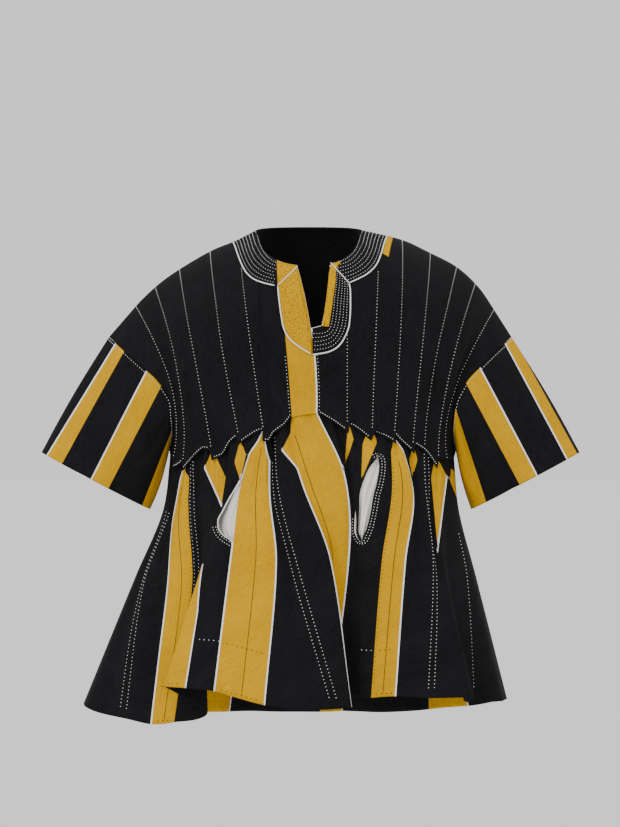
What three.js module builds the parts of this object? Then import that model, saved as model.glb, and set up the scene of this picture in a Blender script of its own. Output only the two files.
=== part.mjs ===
// Fugu smock: sewn from lengthwise woven strips, with a gathered skirt and wide sleeves,
// in its worn form, open at the neck, the cuffs and the hem.
// Millimetres. X runs to the wearer's left, Y to the back and Z up. The origin is at shoulder
// height, in the middle of the neck opening.

import * as THREE from 'three';

// Driving dimensions
const CLOTH = 1.6;                // wall of the woven strips
const BAND = 1.2;                 // wall of the bands that lie on the strips
const POCKET_CLOTH = 1.0;         // wall of the pocket bag
const SEAM = 0.3;                 // gap between neighbouring pieces
const ARMHOLE_SHARE = 4;          // a sleeve draws back this many half seams from the armhole
const NECK_HALF = 84;             // half width of the neck opening
const NECK_FRONT = 84;            // reach of the neck opening to the front
const NECK_BACK = 78;             // reach of the neck opening to the back
const NECK_TOP = 16;              // height of the neck edge over each shoulder
const NECK_DIP = 60;              // how far the neck edge drops at the front
const NECK_RISE = 8;              // how far it rises at the back
const NECK_BAND_WIDTH = 42;
const NECK_POWER = 2.5;           // power of the oval of the neck opening, seen from above
const CHEST_DEPTH = 132;          // front of the chest, from the origin
const CHEST_HALF = 262;
const BACK_DEPTH = 120;
const WAIST_BACK_TOP = -300;      // height of the back waist seam at its middle
const WAIST_BACK_ARCH = 48;       // how much lower it is at the sides
const CUFF_HALF = 98;             // half of the flat width of the cuff
const CUFF_DEPTH = 52;            // half of its depth, front to back
const CUFF_OUT_RIGHT = 341;       // distance out of the middle of each cuff
const CUFF_OUT_LEFT = 346;
const CUFF_HEIGHT = -385;
const CUFF_AXIS = [171, -90];     // X inwards and Z from the cuff's upper corner to its lower one
const SLIT_FOOT = -144;           // height of the foot of the neck slit
const SLIT_FOOT_WIDTH = 16;       // opening of the slit at its foot
const SLIT_WIDTH = 53;            // and at the neck edge

// Heights are shared by these levels of the skirt, as a fraction of the way from waist to hem,
// with the depth of the front and of the back at each
const LEVELS = [
  { at: 0, front: 118, back: 112 },
  { at: 0.22, front: 130, back: 124 },
  { at: 0.48, front: 146, back: 132 },
  { at: 1, front: 160, back: 152 },
];
const SKIRT_ROWS = [0, 0.07, 0.14, 0.22, 0.3, 0.38, 0.48, 0.64, 0.82, 1];
const BODICE_ROWS = [0, 0.08, 0.2, 0.34, 0.46, 0.64, 0.83, 1];
const SLEEVE_ROWS = [0, 0.12, 0.35, 0.68, 1];
const ROUNDNESS = 2.4;            // power of the oval through the skirt
const CHEST_ROUNDNESS = 2.8;
const CHEST_EASE = 0.75;          // how soon the cloth comes forward below the top edge
const BACK_CHEST_SHARE = 0.82;    // X of a back line at the chest, as a share of it at the top
const BACK_UPPER_SHARE = 0.2;     // how far a back line has gone to its middle at the upper level
const FOLD_START = 0.3;           // share of a fold at the upper level of the skirt
const BACK_TOP_RIGHT = -277;      // outermost X of the back's top edge on either side
const BACK_TOP_LEFT = 296;
const BACK_WAIST_RIGHT = -212;    // and where those lines cross the back waist seam
const BACK_WAIST_LEFT = 219;
const BACK_WAIST_HALF = 227;
const POCKET_BAG_HALF = 22;       // half width of a pocket bag
const POCKET_POWER = 0.7;         // how soon a pocket slit opens from its ends

// Each row turns a list of values into an object with the named columns
function table(columns, rows) {
  return rows.map((row) => Object.fromEntries(columns.map((column, i) => [column, row[i]])));
}

// Shoulder ridge: distance from the middle, height on the wearer's right and on the left
const RIDGE = table(['out', 'right', 'left'], [
  [84, 16, 16],
  [120, -2, 8],
  [150, -14, 0],
  [195, -39, -21],
  [235, -66, -42],
  [272, -100, -76],
  [298, -131, -114],
  [322, -158, -152],
]);

// Armhole from the shoulder tip to the underarm: distance out on the wearer's right and left,
// reach to the front or back, height
const ARMHOLE = table(['right', 'left', 'reach', 'height'], [
  [320, 324, 0, -155],
  [300, 305, 33, -172],
  [268, 275, 62, -200],
  [238, 249, 78, -227],
  [218, 232, 74, -262],
  [217, 229, 50, -300],
  [223, 235, 0, -335],
]);

// Lengthwise lines of the front, from the wearer's right to the left. The first five numbers are
// the line's X at the top edge, chest, waist, upper skirt and middle skirt, then at the hem.
// seam is the height of the waist seam, hemZ that of the hem, and the last two say how far the
// line's fold stands out from the skirt's oval at its middle and at the hem.
const FRONT = table(
  ['name', 'top', 'chest', 'waist', 'upper', 'middle', 'hem', 'seam', 'hemZ', 'foldMiddle', 'foldHem'], [
  ['side_right', null, null, -222, -234, -277, -361, -347, -742, 0, 0],
  ['bell_right', null, null, -219, -230, -270, -336, -350, -751, -12, -20],
  ['bell_seam_right', -277, -222, -214, -226, -262, -290, -350, -759, -10, -30],
  ['outer_stripe_edge', -262, -215, -204, -219, -224, -248, -352, -767, -24, -36],
  ['outer_stripe_seam', -246, -207, -198, -206, -201, -229, -352, -766, -21, -37],
  ['outer_stripe_end', -237, -201, -192, -190, -184, -212, -348, -763, -19, -38],
  ['right_fold_far', -228, -194, -178, -174, -173, -184, -336, -760, -17, -40],
  ['right_fold_valley', -218, -187, -166, -162, -167, -160, -330, -748, -15, -38],
  ['right_fold_crest', -207, -180, -153, -152, -169, -227, -335, -703, -3, 12],
  ['fold_stripe_end', -191, -166, -137, -146, -163, -193, -335, -704, 2, 26],
  ['right_panel_middle', -175, -152, -123, -132, -148, -172, -318, -706, 6, 29],
  ['right_panel_inner', -158, -138, -110, -121, -132, -159, -312, -707, 8, 30],
  ['main_stripe_edge', -135, -115, -79, -107, -120, -146, -299, -709, 9, 30],
  ['main_stripe_seam', -112, -94, -71, -83, -83, -105, -304, -720, 11, 32],
  ['main_stripe_end', -103, -88, -64, -63, -52, -70, -309, -729, 13, 33],
  ['bell_panel_middle', -94, -82, -60, -56, -36, -11, -306, -738, 14, 28],
  ['bell_seam_front', -84, -74, -56, -48, -19, 47, -302, -736, 15, 20],
  ['front_fold_crest', -77, -60, -39, -9, 34, 67, -291, -735, 6, 2],
  ['front_fold_under', -65, -49, -34, -6, 36, 57, -287, -732, -5, -18],
  ['centre_right', -51, -37, -27, 9, 42, 42, -282, -730, -17, -29],
  ['centre_left', -19, 5, 11, 55, 62, 34, -276, -728, -22, -41],
  ['front_fold_far', 44, 34, 33, 63, 68, 50, -281, -725, -20, -44],
  ['left_panel_inner', 60, 60, 60, 69, 76, 74, -292, -721, -16, -33],
  ['left_neck_side', 84, 82, 80, 78, 81, 79, -298, -721, -13, -28],
  ['pocket_seam', 112, 105, 99, 91, 85, 84, -304, -722, -11, -25],
  ['left_stripe_edge', 138, 132, 128, 130, 114, 97, -312, -722, -3, -16],
  ['left_stripe_seam', 149, 144, 134, 147, 133, 115, -309, -720, 2, -8],
  ['left_stripe_end', 164, 156, 142, 164, 150, 134, -313, -719, 5, -1],
  ['left_panel_middle', 194, 178, 163, 174, 171, 160, -324, -720, 9, 6],
  ['bell_seam_left', 236, 202, 182, 186, 193, 185, -330, -722, 12, 11],
  ['left_panel_outer', 266, 222, 203, 197, 202, 220, -348, -722, 10, 13],
  ['left_fold_crest', 281, 230, 210, 207, 211, 259, -348, -724, 5, 7],
  ['left_fold_valley', 296, 238, 217, 215, 221, 245, -349, -730, -3, -27],
  ['side_seam_left', null, null, 227, 231, 250, 262, -349, -735, -6, -35],
  ['side_left', null, null, 232, 240, 266, 317, -348, -734, 0, 0],
]);

// Folds of the back skirt, from the wearer's left to the right: X at the waist, X at the middle
// of the skirt and at the hem, height of the hem, and how far the fold stands out at both levels
const BACK_FOLDS = table(['waist', 'middle', 'hem', 'hemZ', 'foldMiddle', 'foldHem'], [
  [232, 266, 317, -734, 0, 0],
  [222, 256, 300, -742, -6, -10],
  [205, 236, 262, -752, -4, -8],
  [180, 208, 216, -756, -8, -26],
  [150, 176, 178, -764, 4, 10],
  [105, 120, 112, -768, 2, 14],
  [65, 72, 62, -764, -8, -20],
  [25, 28, 18, -768, 6, 14],
  [-20, -26, -44, -768, 6, 16],
  [-60, -70, -96, -764, -8, -18],
  [-100, -118, -146, -768, 6, 20],
  [-140, -165, -205, -768, 6, 22],
  [-175, -205, -252, -764, -8, -12],
  [-200, -238, -300, -758, 4, 6],
  [-215, -262, -340, -750, 2, 4],
  [-222, -277, -361, -742, 0, 0],
]);

// The pocket slits lie in seams of the skirt. Each parts between two heights, by shares of the
// width on its two sides, and spreads over the lines from first to last. room is the gap
// between the skirt and the pocket bag behind it.
const POCKETS = table(['name', 'line', 'first', 'last', 'top', 'foot', 'width', 'rightShare', 'room'], [
  ['right', 'main_stripe_edge', 'right_fold_crest', 'main_stripe_edge', -378, -466, 27, 1, 0.9],
  ['left', 'pocket_seam', 'left_panel_inner', 'left_stripe_edge', -345, -474, 21, 0.45, 1.4],
]);

// Slit band, from the neck band round the foot of the slit: X and Z of its inner and outer edge
const SLIT_BAND = table(['innerX', 'innerZ', 'outerX', 'outerZ'], [
  [48, -60, 65, -86],
  [42, -80, 66, -97],
  [39, -105, 66, -117],
  [37, -128, 63, -142],
  [33, -144, 54, -163],
  [26, -150, 38, -177],
  [18, -151, 24, -183],
  [10, -151, 10, -183],
]);

// Slit edging, the narrow strip along the slit: Z, and X of its two edges
const SLIT_EDGING = table(['z', 'slitX', 'farX'], [
  [-48, 34, 46],
  [-75, 31, 39],
  [-105, 27, 36],
  [-136, 22, 34],
]);

// Strips, each from one named line to the next
const BODICE_SEAMS = [
  'side_right', 'bell_seam_right', 'outer_stripe_seam', 'right_fold_crest', 'right_panel_inner',
  'main_stripe_seam', 'centre_right', 'centre_left', 'left_panel_inner', 'pocket_seam',
  'left_stripe_seam', 'left_panel_middle', 'bell_seam_left', 'left_panel_outer',
  'left_fold_valley', 'side_left',
];
const SKIRT_SEAMS = [
  'side_right', 'bell_seam_right', 'outer_stripe_seam', 'fold_stripe_end', 'main_stripe_edge',
  'main_stripe_seam', 'bell_seam_front', 'centre_right', 'left_panel_inner', 'pocket_seam',
  'left_stripe_seam', 'bell_seam_left', 'left_fold_valley', 'side_left',
];
const BACK_BODICE_SEAMS = [
  'side_left', 'left_fold_valley', 'bell_seam_left', 'left_stripe_seam', 'pocket_seam',
  'main_stripe_seam', 'right_panel_inner', 'right_fold_crest', 'outer_stripe_seam',
  'bell_seam_right', 'side_right',
];
const BACK_SKIRT_SEAMS = [
  'side_left', 'bell_seam_left', 'pocket_seam', 'main_stripe_seam', 'right_fold_crest',
  'bell_seam_right', 'side_right',
];

// Colours of the woven cloth
const BLACK = 0x242426;
const GOLD = 0xf2bd10;
const CREAM = 0xe8e2d2;

// Small helpers

const vec = (x, y, z) => new THREE.Vector3(x, y, z);
const mix = (a, b, f) => a + (b - a) * f;
const clamp01 = (f) => Math.min(1, Math.max(0, f));

// Value at x on straight stretches between the rows' values, which rise along xs
function stepped(xs, values, x) {
  let i = 0;
  while (i < xs.length - 2 && x > xs[i + 1]) i += 1;
  return mix(values[i], values[i + 1], clamp01((x - xs[i]) / (xs[i + 1] - xs[i])));
}

// Smooth value at x on a curve through the rows' values, which rise along xs
function smooth(xs, values, x) {
  let i = 0;
  while (i < xs.length - 2 && x > xs[i + 1]) i += 1;
  const slope = (k) => {
    const low = Math.max(k - 1, 0);
    const high = Math.min(k + 1, xs.length - 1);
    return (values[high] - values[low]) / (xs[high] - xs[low]);
  };
  const span = xs[i + 1] - xs[i];
  const f = clamp01((x - xs[i]) / span);
  const f2 = f * f;
  const f3 = f2 * f;
  return values[i] * (2 * f3 - 3 * f2 + 1) + values[i + 1] * (3 * f2 - 2 * f3)
    + span * (slope(i) * (f3 - 2 * f2 + f) + slope(i + 1) * (f3 - f2));
}

// Depth of an oval of the given half width and depth at a distance from its middle
function oval(out, half, depth, power) {
  return depth * (1 - clamp01(Math.abs(out / half)) ** power) ** (1 / power);
}

const lineNumber = (name) => FRONT.findIndex((row) => row.name === name);

// Top edge of the bodice: the shoulder ridge, and the neck edge inside it

function topPoint(x, side) {
  if (Math.abs(x) >= NECK_HALF) {
    const heights = RIDGE.map((row) => (x < 0 ? row.right : row.left));
    return vec(x, 0, stepped(RIDGE.map((row) => row.out), heights, Math.abs(x)));
  }
  const share = Math.sqrt(1 - Math.abs(x / NECK_HALF) ** NECK_POWER);
  return side < 0
    ? vec(x, -NECK_FRONT * share, NECK_TOP - NECK_DIP * share)
    : vec(x, NECK_BACK * share, NECK_TOP + NECK_RISE * share);
}

// Skirt: each lengthwise line runs through its X at the four levels

const LEVEL_AT = LEVELS.map((level) => level.at);
const SIDE_RIGHT = FRONT[0];
const SIDE_LEFT = FRONT[FRONT.length - 1];
const SIDES = ['waist', 'upper', 'middle', 'hem'].map((level) => ({
  middle: (SIDE_LEFT[level] + SIDE_RIGHT[level]) / 2,
  half: (SIDE_LEFT[level] - SIDE_RIGHT[level]) / 2,
}));

function skirtPoint(line, t, side) {
  const x = smooth(LEVEL_AT, [line.waist, line.upper, line.middle, line.hem], t);
  const middle = smooth(LEVEL_AT, SIDES.map((level) => level.middle), t);
  const half = smooth(LEVEL_AT, SIDES.map((level) => level.half), t);
  const depths = LEVELS.map((level) => (side < 0 ? level.front : level.back));
  const fold = smooth(LEVEL_AT, [0, line.foldMiddle * FOLD_START, line.foldMiddle, line.foldHem], t);
  const depth = oval(x - middle, half, smooth(LEVEL_AT, depths, t), ROUNDNESS) + fold;
  return vec(x, side * depth, mix(line.seam, line.hemZ, t));
}

// Bodice: each line drops from the top edge over the chest to the waist seam

function bodicePoint(line, t, side) {
  const top = topPoint(line.top, side);
  const waist = skirtPoint(line, 0, side);
  const reach = side < 0 ? CHEST_DEPTH : BACK_DEPTH;
  const chestDepth = oval(line.chest, CHEST_HALF, reach, CHEST_ROUNDNESS);
  const chest = vec(line.chest, side * chestDepth, (top.z + waist.z) / 2);
  const first = (t - 0.5) * (t - 1) * 2;
  const second = -4 * t * (t - 1);
  const third = t * (t - 0.5) * 2;
  const x = first * top.x + second * chest.x + third * waist.x;
  const z = first * top.z + second * chest.z + third * waist.z;
  const drop = clamp01(t * 2);
  const settle = clamp01(t * 2 - 1);
  const y = t < 0.5
    ? mix(top.y, chest.y, (1 - (1 - drop) ** 2) ** CHEST_EASE)
    : mix(chest.y, waist.y, settle * settle * (3 - 2 * settle));
  return vec(x, y, z);
}

function armholePoint(number, hand, side) {
  const row = ARMHOLE[number];
  return vec(hand * (hand < 0 ? row.right : row.left), side * row.reach, row.height);
}

// A grid is a list of rows from the top down, each a list of points from left to right as they
// are seen from outside

function bodiceGrid(lines, side) {
  return BODICE_ROWS.map((t, number) => lines.map((line, i) => {
    if (line.top !== null) return bodicePoint(line, t, side);
    const hand = line.waist < 0 ? -1 : 1;
    const waist = skirtPoint(line, 0, side);
    const edge = number < ARMHOLE.length ? armholePoint(number, hand, side) : waist;
    if (i === 0 || i === lines.length - 1) return edge;
    if (number === ARMHOLE.length) return waist;
    const inner = lines[lines[i - 1].top === null ? i + 1 : i - 1];
    return edge.clone().lerp(bodicePoint(inner, t, side), 0.5);
  }));
}

function skirtGrid(lines, side) {
  return SKIRT_ROWS.map((t) => lines.map((line) => skirtPoint(line, t, side)));
}

// Back lines share the ridge points of the front ones, and cross the back of the neck
const BACK_NECK = [66, 34, 0, -34, -66].map((x) => ({ name: 'back_neck', top: x }));
const RIGHT_RIDGE = FRONT.filter((row) => row.top !== null && row.top <= -NECK_HALF);
const LEFT_RIDGE = FRONT.filter((row) => row.top !== null && row.top >= NECK_HALF);
const BACK_TOPS = [
  SIDE_LEFT, FRONT[FRONT.length - 2], ...LEFT_RIDGE.toReversed(), ...BACK_NECK,
  ...RIGHT_RIDGE.toReversed(), FRONT[1], SIDE_RIGHT,
];

function backLine(row) {
  if (row === SIDE_LEFT || row === SIDE_RIGHT) return row;
  const outermost = row.top < 0 ? BACK_TOP_RIGHT : BACK_TOP_LEFT;
  const share = row.top === null ? 1 : row.top / outermost;
  const outerWaist = row.top < 0 ? BACK_WAIST_RIGHT : BACK_WAIST_LEFT;
  const waist = row.top === null ? row.waist : share * outerWaist;
  const along = BACK_FOLDS.map((fold) => -fold.waist);
  const at = (column) => smooth(along, BACK_FOLDS.map((fold) => fold[column]), -waist);
  const arch = WAIST_BACK_TOP - WAIST_BACK_ARCH * (waist / BACK_WAIST_HALF) ** 2;
  return {
    name: row.name,
    top: row.top,
    chest: row.top === null ? null : row.top * BACK_CHEST_SHARE,
    waist,
    upper: mix(waist, at('middle'), BACK_UPPER_SHARE),
    middle: at('middle'),
    hem: at('hem'),
    seam: row.top === null ? row.seam : arch,
    hemZ: at('hemZ'),
    foldMiddle: at('foldMiddle'),
    foldHem: at('foldHem'),
  };
}

const BACK = BACK_TOPS.map(backLine);
const backNumber = (name) => BACK.findIndex((row) => row.name === name);

// Sleeve: rings from the armhole to the cuff, with one more point between each pair of its points

function sleeveGrid(hand) {
  const last = ARMHOLE.length - 1;
  const loop = [];
  for (let i = 0; i <= last; i += 1) loop.push([armholePoint(i, hand, -1), i / last]);
  for (let i = last - 1; i > 0; i -= 1) loop.push([armholePoint(i, hand, 1), 2 - i / last]);
  const ring = [];
  loop.forEach(([point, turn], i) => {
    const [next, nextTurn] = loop[(i + 1) % loop.length];
    ring.push([point, turn]);
    ring.push([point.clone().lerp(next, 0.5), (turn + (nextTurn || 2)) / 2]);
  });
  const length = Math.hypot(...CUFF_AXIS);
  return SLEEVE_ROWS.map((t) => ring.map(([point, turn]) => {
    const along = -Math.cos(Math.PI * turn) * CUFF_HALF / length;
    const cuff = vec(
      hand * ((hand < 0 ? CUFF_OUT_RIGHT : CUFF_OUT_LEFT) - along * CUFF_AXIS[0]),
      -Math.sin(Math.PI * turn) * CUFF_DEPTH,
      CUFF_HEIGHT + along * CUFF_AXIS[1],
    );
    return point.clone().lerp(cuff, t);
  }));
}

// Outward directions, shared by all pieces that meet at a point

const place = (p) => p.toArray().map((value) => Math.round(value * 10) + 0).join(',');
const outwards = new Map();

function eachCell(grid, closed, visit) {
  for (let r = 0; r + 1 < grid.length; r += 1) {
    const count = grid[r].length;
    for (let c = 0; c < (closed ? count : count - 1); c += 1) {
      const d = (c + 1) % count;
      visit(grid[r][c], grid[r + 1][c], grid[r + 1][d], grid[r][d]);
    }
  }
}

function gatherDirections(grid, closed, turn) {
  eachCell(grid, closed, (a, b, c, d) => {
    const normal = c.clone().sub(a).cross(d.clone().sub(b)).normalize().multiplyScalar(turn);
    for (const p of [a, b, c, d]) {
      const sum = outwards.get(place(p)) || vec(0, 0, 0);
      outwards.set(place(p), sum.add(normal));
    }
  });
}

const outward = (p) => outwards.get(place(p)).clone().normalize();

function moved(grid, distance) {
  return grid.map((row) => row.map((p) => p.clone().addScaledVector(outward(p), distance)));
}

// One closed wall between an outer and an inner grid

function wall(name, outer, inner, colour, closed = false) {
  const rows = outer.length;
  const count = outer[0].length;
  const points = [...outer.flat(), ...inner.flat()];
  const out = (r, c) => r * count + (c % count);
  const into = (r, c) => rows * count + out(r, c);
  const triangles = [];
  const quad = (a, b, c, d) => triangles.push(a, b, c, a, c, d);
  for (let r = 0; r + 1 < rows; r += 1) {
    for (let c = 0; c < (closed ? count : count - 1); c += 1) {
      quad(out(r, c), out(r + 1, c), out(r + 1, c + 1), out(r, c + 1));
      quad(into(r, c), into(r, c + 1), into(r + 1, c + 1), into(r + 1, c));
    }
  }
  for (let c = 0; c < (closed ? count : count - 1); c += 1) {
    quad(out(0, c), out(0, c + 1), into(0, c + 1), into(0, c));
    quad(out(rows - 1, c), into(rows - 1, c), into(rows - 1, c + 1), out(rows - 1, c + 1));
  }
  for (let r = 0; r + 1 < rows && !closed; r += 1) {
    quad(out(r + 1, 0), out(r, 0), into(r, 0), into(r + 1, 0));
    quad(out(r + 1, count - 1), into(r + 1, count - 1), into(r, count - 1), out(r, count - 1));
  }
  let volume = 0;
  for (let i = 0; i < triangles.length; i += 3) {
    const [a, b, c] = [points[triangles[i]], points[triangles[i + 1]], points[triangles[i + 2]]];
    volume += a.dot(b.clone().cross(c));
  }
  if (volume < 0) triangles.reverse();
  const geometry = new THREE.BufferGeometry();
  const numbers = points.flatMap((p) => p.toArray());
  geometry.setAttribute('position', new THREE.Float32BufferAttribute(numbers, 3));
  geometry.setIndex(triangles);
  geometry.computeVertexNormals();
  const material = new THREE.MeshStandardMaterial({ color: colour, roughness: 0.9, metalness: 0 });
  const mesh = new THREE.Mesh(geometry, material);
  mesh.name = name;
  return mesh;
}

// Draws the edge of a grid in by half a seam, so that neighbours stay a seam's gap apart

function drawIn(grid, closed = false, topShare = 1) {
  const last = grid.length - 1;
  return grid.map((row, r) => row.map((p, c) => {
    const towards = vec(0, 0, 0);
    const pull = (q, share = 1) => towards.add(q.clone().sub(p).normalize().multiplyScalar(share));
    if (r === 0) pull(grid[1][c], topShare);
    if (r === last) pull(grid[last - 1][c]);
    if (!closed && c === 0) pull(row[1]);
    if (!closed && c === row.length - 1) pull(row[c - 1]);
    return p.clone().addScaledVector(towards, SEAM / 2);
  }));
}

// Parts a strip's lines sideways where a pocket slit or the neck slit opens

function partedFor(pocket, from, to, x, z, number) {
  const line = lineNumber(pocket.line);
  const height = (z - pocket.foot) / (pocket.top - pocket.foot);
  if (height <= 0 || height >= 1) return x;
  const gape = pocket.width * Math.sin(Math.PI * height) ** POCKET_POWER;
  if (to <= line) {
    const reach = line - lineNumber(pocket.first);
    return x - gape * pocket.rightShare * clamp01((number - line + reach) / Math.max(reach, 1));
  }
  if (from >= line) {
    const reach = lineNumber(pocket.last) - line;
    return x + gape * (1 - pocket.rightShare) * clamp01((line + reach - number) / Math.max(reach, 1));
  }
  return x;
}

const frontBodice = bodiceGrid(FRONT, -1);
const frontSkirt = skirtGrid(FRONT, -1);
const backBodice = bodiceGrid(BACK, 1);
const backSkirt = skirtGrid(BACK, 1);
const sleeves = [
  { name: 'sleeve_right', hand: -1, grid: sleeveGrid(-1) },
  { name: 'sleeve_left', hand: 1, grid: sleeveGrid(1) },
];

for (const grid of [frontBodice, frontSkirt, backBodice, backSkirt]) gatherDirections(grid, false, 1);
for (const sleeve of sleeves) gatherDirections(sleeve.grid, true, -sleeve.hand);

const smock = new THREE.Group();
const columns = (grid, from, to) => grid.map((row) => row.slice(from, to + 1));

function addStrips(prefix, grid, seams, number, colours, shaped = (p) => p) {
  for (let i = 0; i + 1 < seams.length; i += 1) {
    const from = number(seams[i]);
    const to = number(seams[i + 1]);
    const part = columns(grid, from, to);
    const inner = moved(part, -CLOTH);
    const shape = (points) => points.map((row) => row.map((p, c) => shaped(p, from, to, from + c)));
    const name = `${prefix}_${i + 1}`;
    smock.add(wall(name, drawIn(shape(part)), drawIn(shape(inner)), colours[seams[i]] ?? BLACK));
  }
}

// The strip left of the neck slit keeps its edge, and the one on the other side draws back
function slitEdge(p) {
  if (p.z < SLIT_FOOT) return p;
  const open = (p.z - SLIT_FOOT) / (NECK_TOP - NECK_DIP - SLIT_FOOT);
  return vec(p.x + mix(SLIT_FOOT_WIDTH, SLIT_WIDTH, open), p.y, p.z);
}

function slitShape(p, from, to, number) {
  const line = lineNumber('centre_left');
  return from === line && number === line ? slitEdge(p) : p;
}

function pocketShape(p, from, to, number) {
  const x = POCKETS.reduce((at, pocket) => partedFor(pocket, from, to, at, p.z, number), p.x);
  return vec(x, p.y, p.z);
}

addStrips('bodice_front_strip', frontBodice, BODICE_SEAMS, lineNumber, { centre_right: GOLD }, slitShape);
addStrips('skirt_front_strip', frontSkirt, SKIRT_SEAMS, lineNumber,
  { main_stripe_edge: GOLD, centre_right: GOLD }, pocketShape);
addStrips('bodice_back_strip', backBodice, BACK_BODICE_SEAMS, backNumber, {});
addStrips('skirt_back_strip', backSkirt, BACK_SKIRT_SEAMS, backNumber, {});

for (const { name, grid } of sleeves) {
  const inner = moved(grid, -CLOTH);
  inner[0].forEach((p, i) => {
    if (i % 2 === 1) p.copy(inner[0][i - 1]).lerp(inner[0][(i + 1) % inner[0].length], 0.5);
  });
  const faces = [grid, inner].map((face) => drawIn(face, true, ARMHOLE_SHARE));
  smock.add(wall(name, ...faces, BLACK, true));
}

// Points on the cloth below or behind a place, for the pieces that lie on it

const TINY = 1e-9;                // area of a facet that is seen edge on
const EDGE_ROOM = 1e-6;           // share by which a place may lie outside a facet

function onCloth(grids, u, v, axes) {
  let found = null;
  const [a0, a1] = axes;
  const test = (a, b, c) => {
    const area = (b[a0] - a[a0]) * (c[a1] - a[a1]) - (c[a0] - a[a0]) * (b[a1] - a[a1]);
    if (Math.abs(area) < TINY) return;
    const fb = ((u - a[a0]) * (c[a1] - a[a1]) - (c[a0] - a[a0]) * (v - a[a1])) / area;
    const fc = ((b[a0] - a[a0]) * (v - a[a1]) - (u - a[a0]) * (b[a1] - a[a1])) / area;
    if (fb < -EDGE_ROOM || fc < -EDGE_ROOM || fb + fc > 1 + EDGE_ROOM) return;
    const blend = (p, q, r) => (
      p.clone().multiplyScalar(1 - fb - fc).addScaledVector(q, fb).addScaledVector(r, fc));
    const point = blend(a, b, c);
    const lead = (spot) => (axes.includes('z') ? -spot.y : spot.z);
    const better = !found || lead(point) > lead(found.point);
    if (better) found = { point, normal: blend(outward(a), outward(b), outward(c)).normalize() };
  };
  for (const grid of grids) {
    eachCell(grid, false, (a, b, c, d) => {
      test(a, b, c);
      test(a, c, d);
    });
  }
  return found;
}

// A piece that lies on the cloth: its underside is a gap off the cloth, its upper side a wall more

function layOn(name, spots, colour, thickness, offset) {
  const raised = (spot, distance) => spot.point.clone().addScaledVector(spot.normal, distance);
  const lay = (distance) => spots.map((row) => row.map((spot) => raised(spot, distance)));
  return wall(name, lay(offset + thickness), lay(offset), colour);
}

// Neck band: rings outwards from the neck edge, over the front, the shoulders and the back

const NECK_GRIDS = [frontBodice, backBodice];
const BAND_STEPS = [0, 0.18, 0.38, 0.58, 0.79, 1];
const BAND_EASE = 2.7;            // room under the band for the bends of the cloth
const BAND_INSET = 0.6;           // the band starts this far from the neck edge
const BAND_STRIDE = 1;            // step of the walk over the cloth
const BAND_STEP = 0.01;           // step along the neck edge that gives its direction

// X of the two ends of each length of the band, and how many steps it takes between them
const NECK_BANDS = table(['name', 'from', 'to', 'steps', 'side'], [
  ['right', -83.6, -52, 12, -1],
  ['left', 46, 83.6, 12, -1],
  ['back', 83, -83, 28, 1],
]);

// Walks from a point of the neck edge over the cloth until it has gone the distance
function walkOut(edge, away, distance) {
  const at = (plan) => onCloth(NECK_GRIDS, edge.x + away.x * plan, edge.y + away.y * plan, ['x', 'y']);
  let plan = BAND_INSET;
  let here = at(plan);
  let gone = 0;
  while (gone < distance) {
    plan += BAND_STRIDE;
    const next = at(plan);
    gone += next.point.distanceTo(here.point);
    here = next;
  }
  return here;
}

function bandSpots(fromX, toX, steps, side) {
  return BAND_STEPS.map((share) => Array.from({ length: steps + 1 }, (_, i) => {
    const x = mix(fromX, toX, i / steps);
    const edge = topPoint(x, side);
    const next = topPoint(x + BAND_STEP * Math.sign(toX - fromX), side);
    const away = vec(edge.y - next.y, next.x - edge.x, 0).normalize();
    if (away.dot(vec(edge.x, edge.y, 0)) < 0) away.negate();
    return walkOut(edge, away, share * NECK_BAND_WIDTH);
  }));
}

for (const band of NECK_BANDS) {
  const spots = bandSpots(band.from, band.to, band.steps, band.side);
  smock.add(layOn(`neck_band_${band.name}`, spots, BLACK, BAND, BAND_EASE));
}

// Slit band and slit edging, on the strips of the wearer's left of the slit

const slitSide = columns(frontBodice, lineNumber('centre_left'), FRONT.length - 1)
  .map(([edge, ...others]) => [slitEdge(edge), ...others]);
gatherDirections(slitSide, false, 1);
const ACROSS = [0, 0.34, 0.67, 1];
const onSlitSide = (x, z) => onCloth([slitSide], x, z, ['x', 'z']);
const slitBandSpots = SLIT_BAND.map((row) => ACROSS.map((f) => (
  onSlitSide(mix(row.innerX, row.outerX, f), mix(row.innerZ, row.outerZ, f)))));
const slitEdgingSpots = SLIT_EDGING.map((row) => ACROSS.map((f) => (
  onSlitSide(mix(row.slitX, row.farX, f), row.z))));
smock.add(layOn('slit_band', slitBandSpots, BLACK, BAND, BAND_EASE));
smock.add(layOn('slit_edging', slitEdgingSpots, GOLD, BAND, BAND_EASE));

// Pocket bags behind the slits: shares of the slit's height from its top, and of the half width

const BAG_HEIGHTS = [-0.06, 0.18, 0.42, 0.66, 0.9, 1.06];
const BAG_WIDTHS = [-1, -0.5, 0, 0.5, 1];

for (const pocket of POCKETS) {
  const line = FRONT[lineNumber(pocket.line)];
  const middle = line.waist < 0 ? pocket.width / 2 : 0;
  const spots = BAG_HEIGHTS.map((f) => {
    const z = mix(pocket.top, pocket.foot, f);
    const t = clamp01((z - line.seam) / (line.hemZ - line.seam));
    const x = skirtPoint(line, t, -1).x - middle;
    return BAG_WIDTHS.map((share) => (
      onCloth([frontSkirt], x + share * POCKET_BAG_HALF, z, ['x', 'z'])));
  });
  const offset = -CLOTH - pocket.room - POCKET_CLOTH;
  smock.add(layOn(`pocket_bag_${pocket.name}`, spots, CREAM, POCKET_CLOTH, offset));
}

export default smock;
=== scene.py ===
import math

import bmesh
import bpy
import numpy as np
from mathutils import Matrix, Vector
from mathutils.bvhtree import BVHTree


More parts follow.
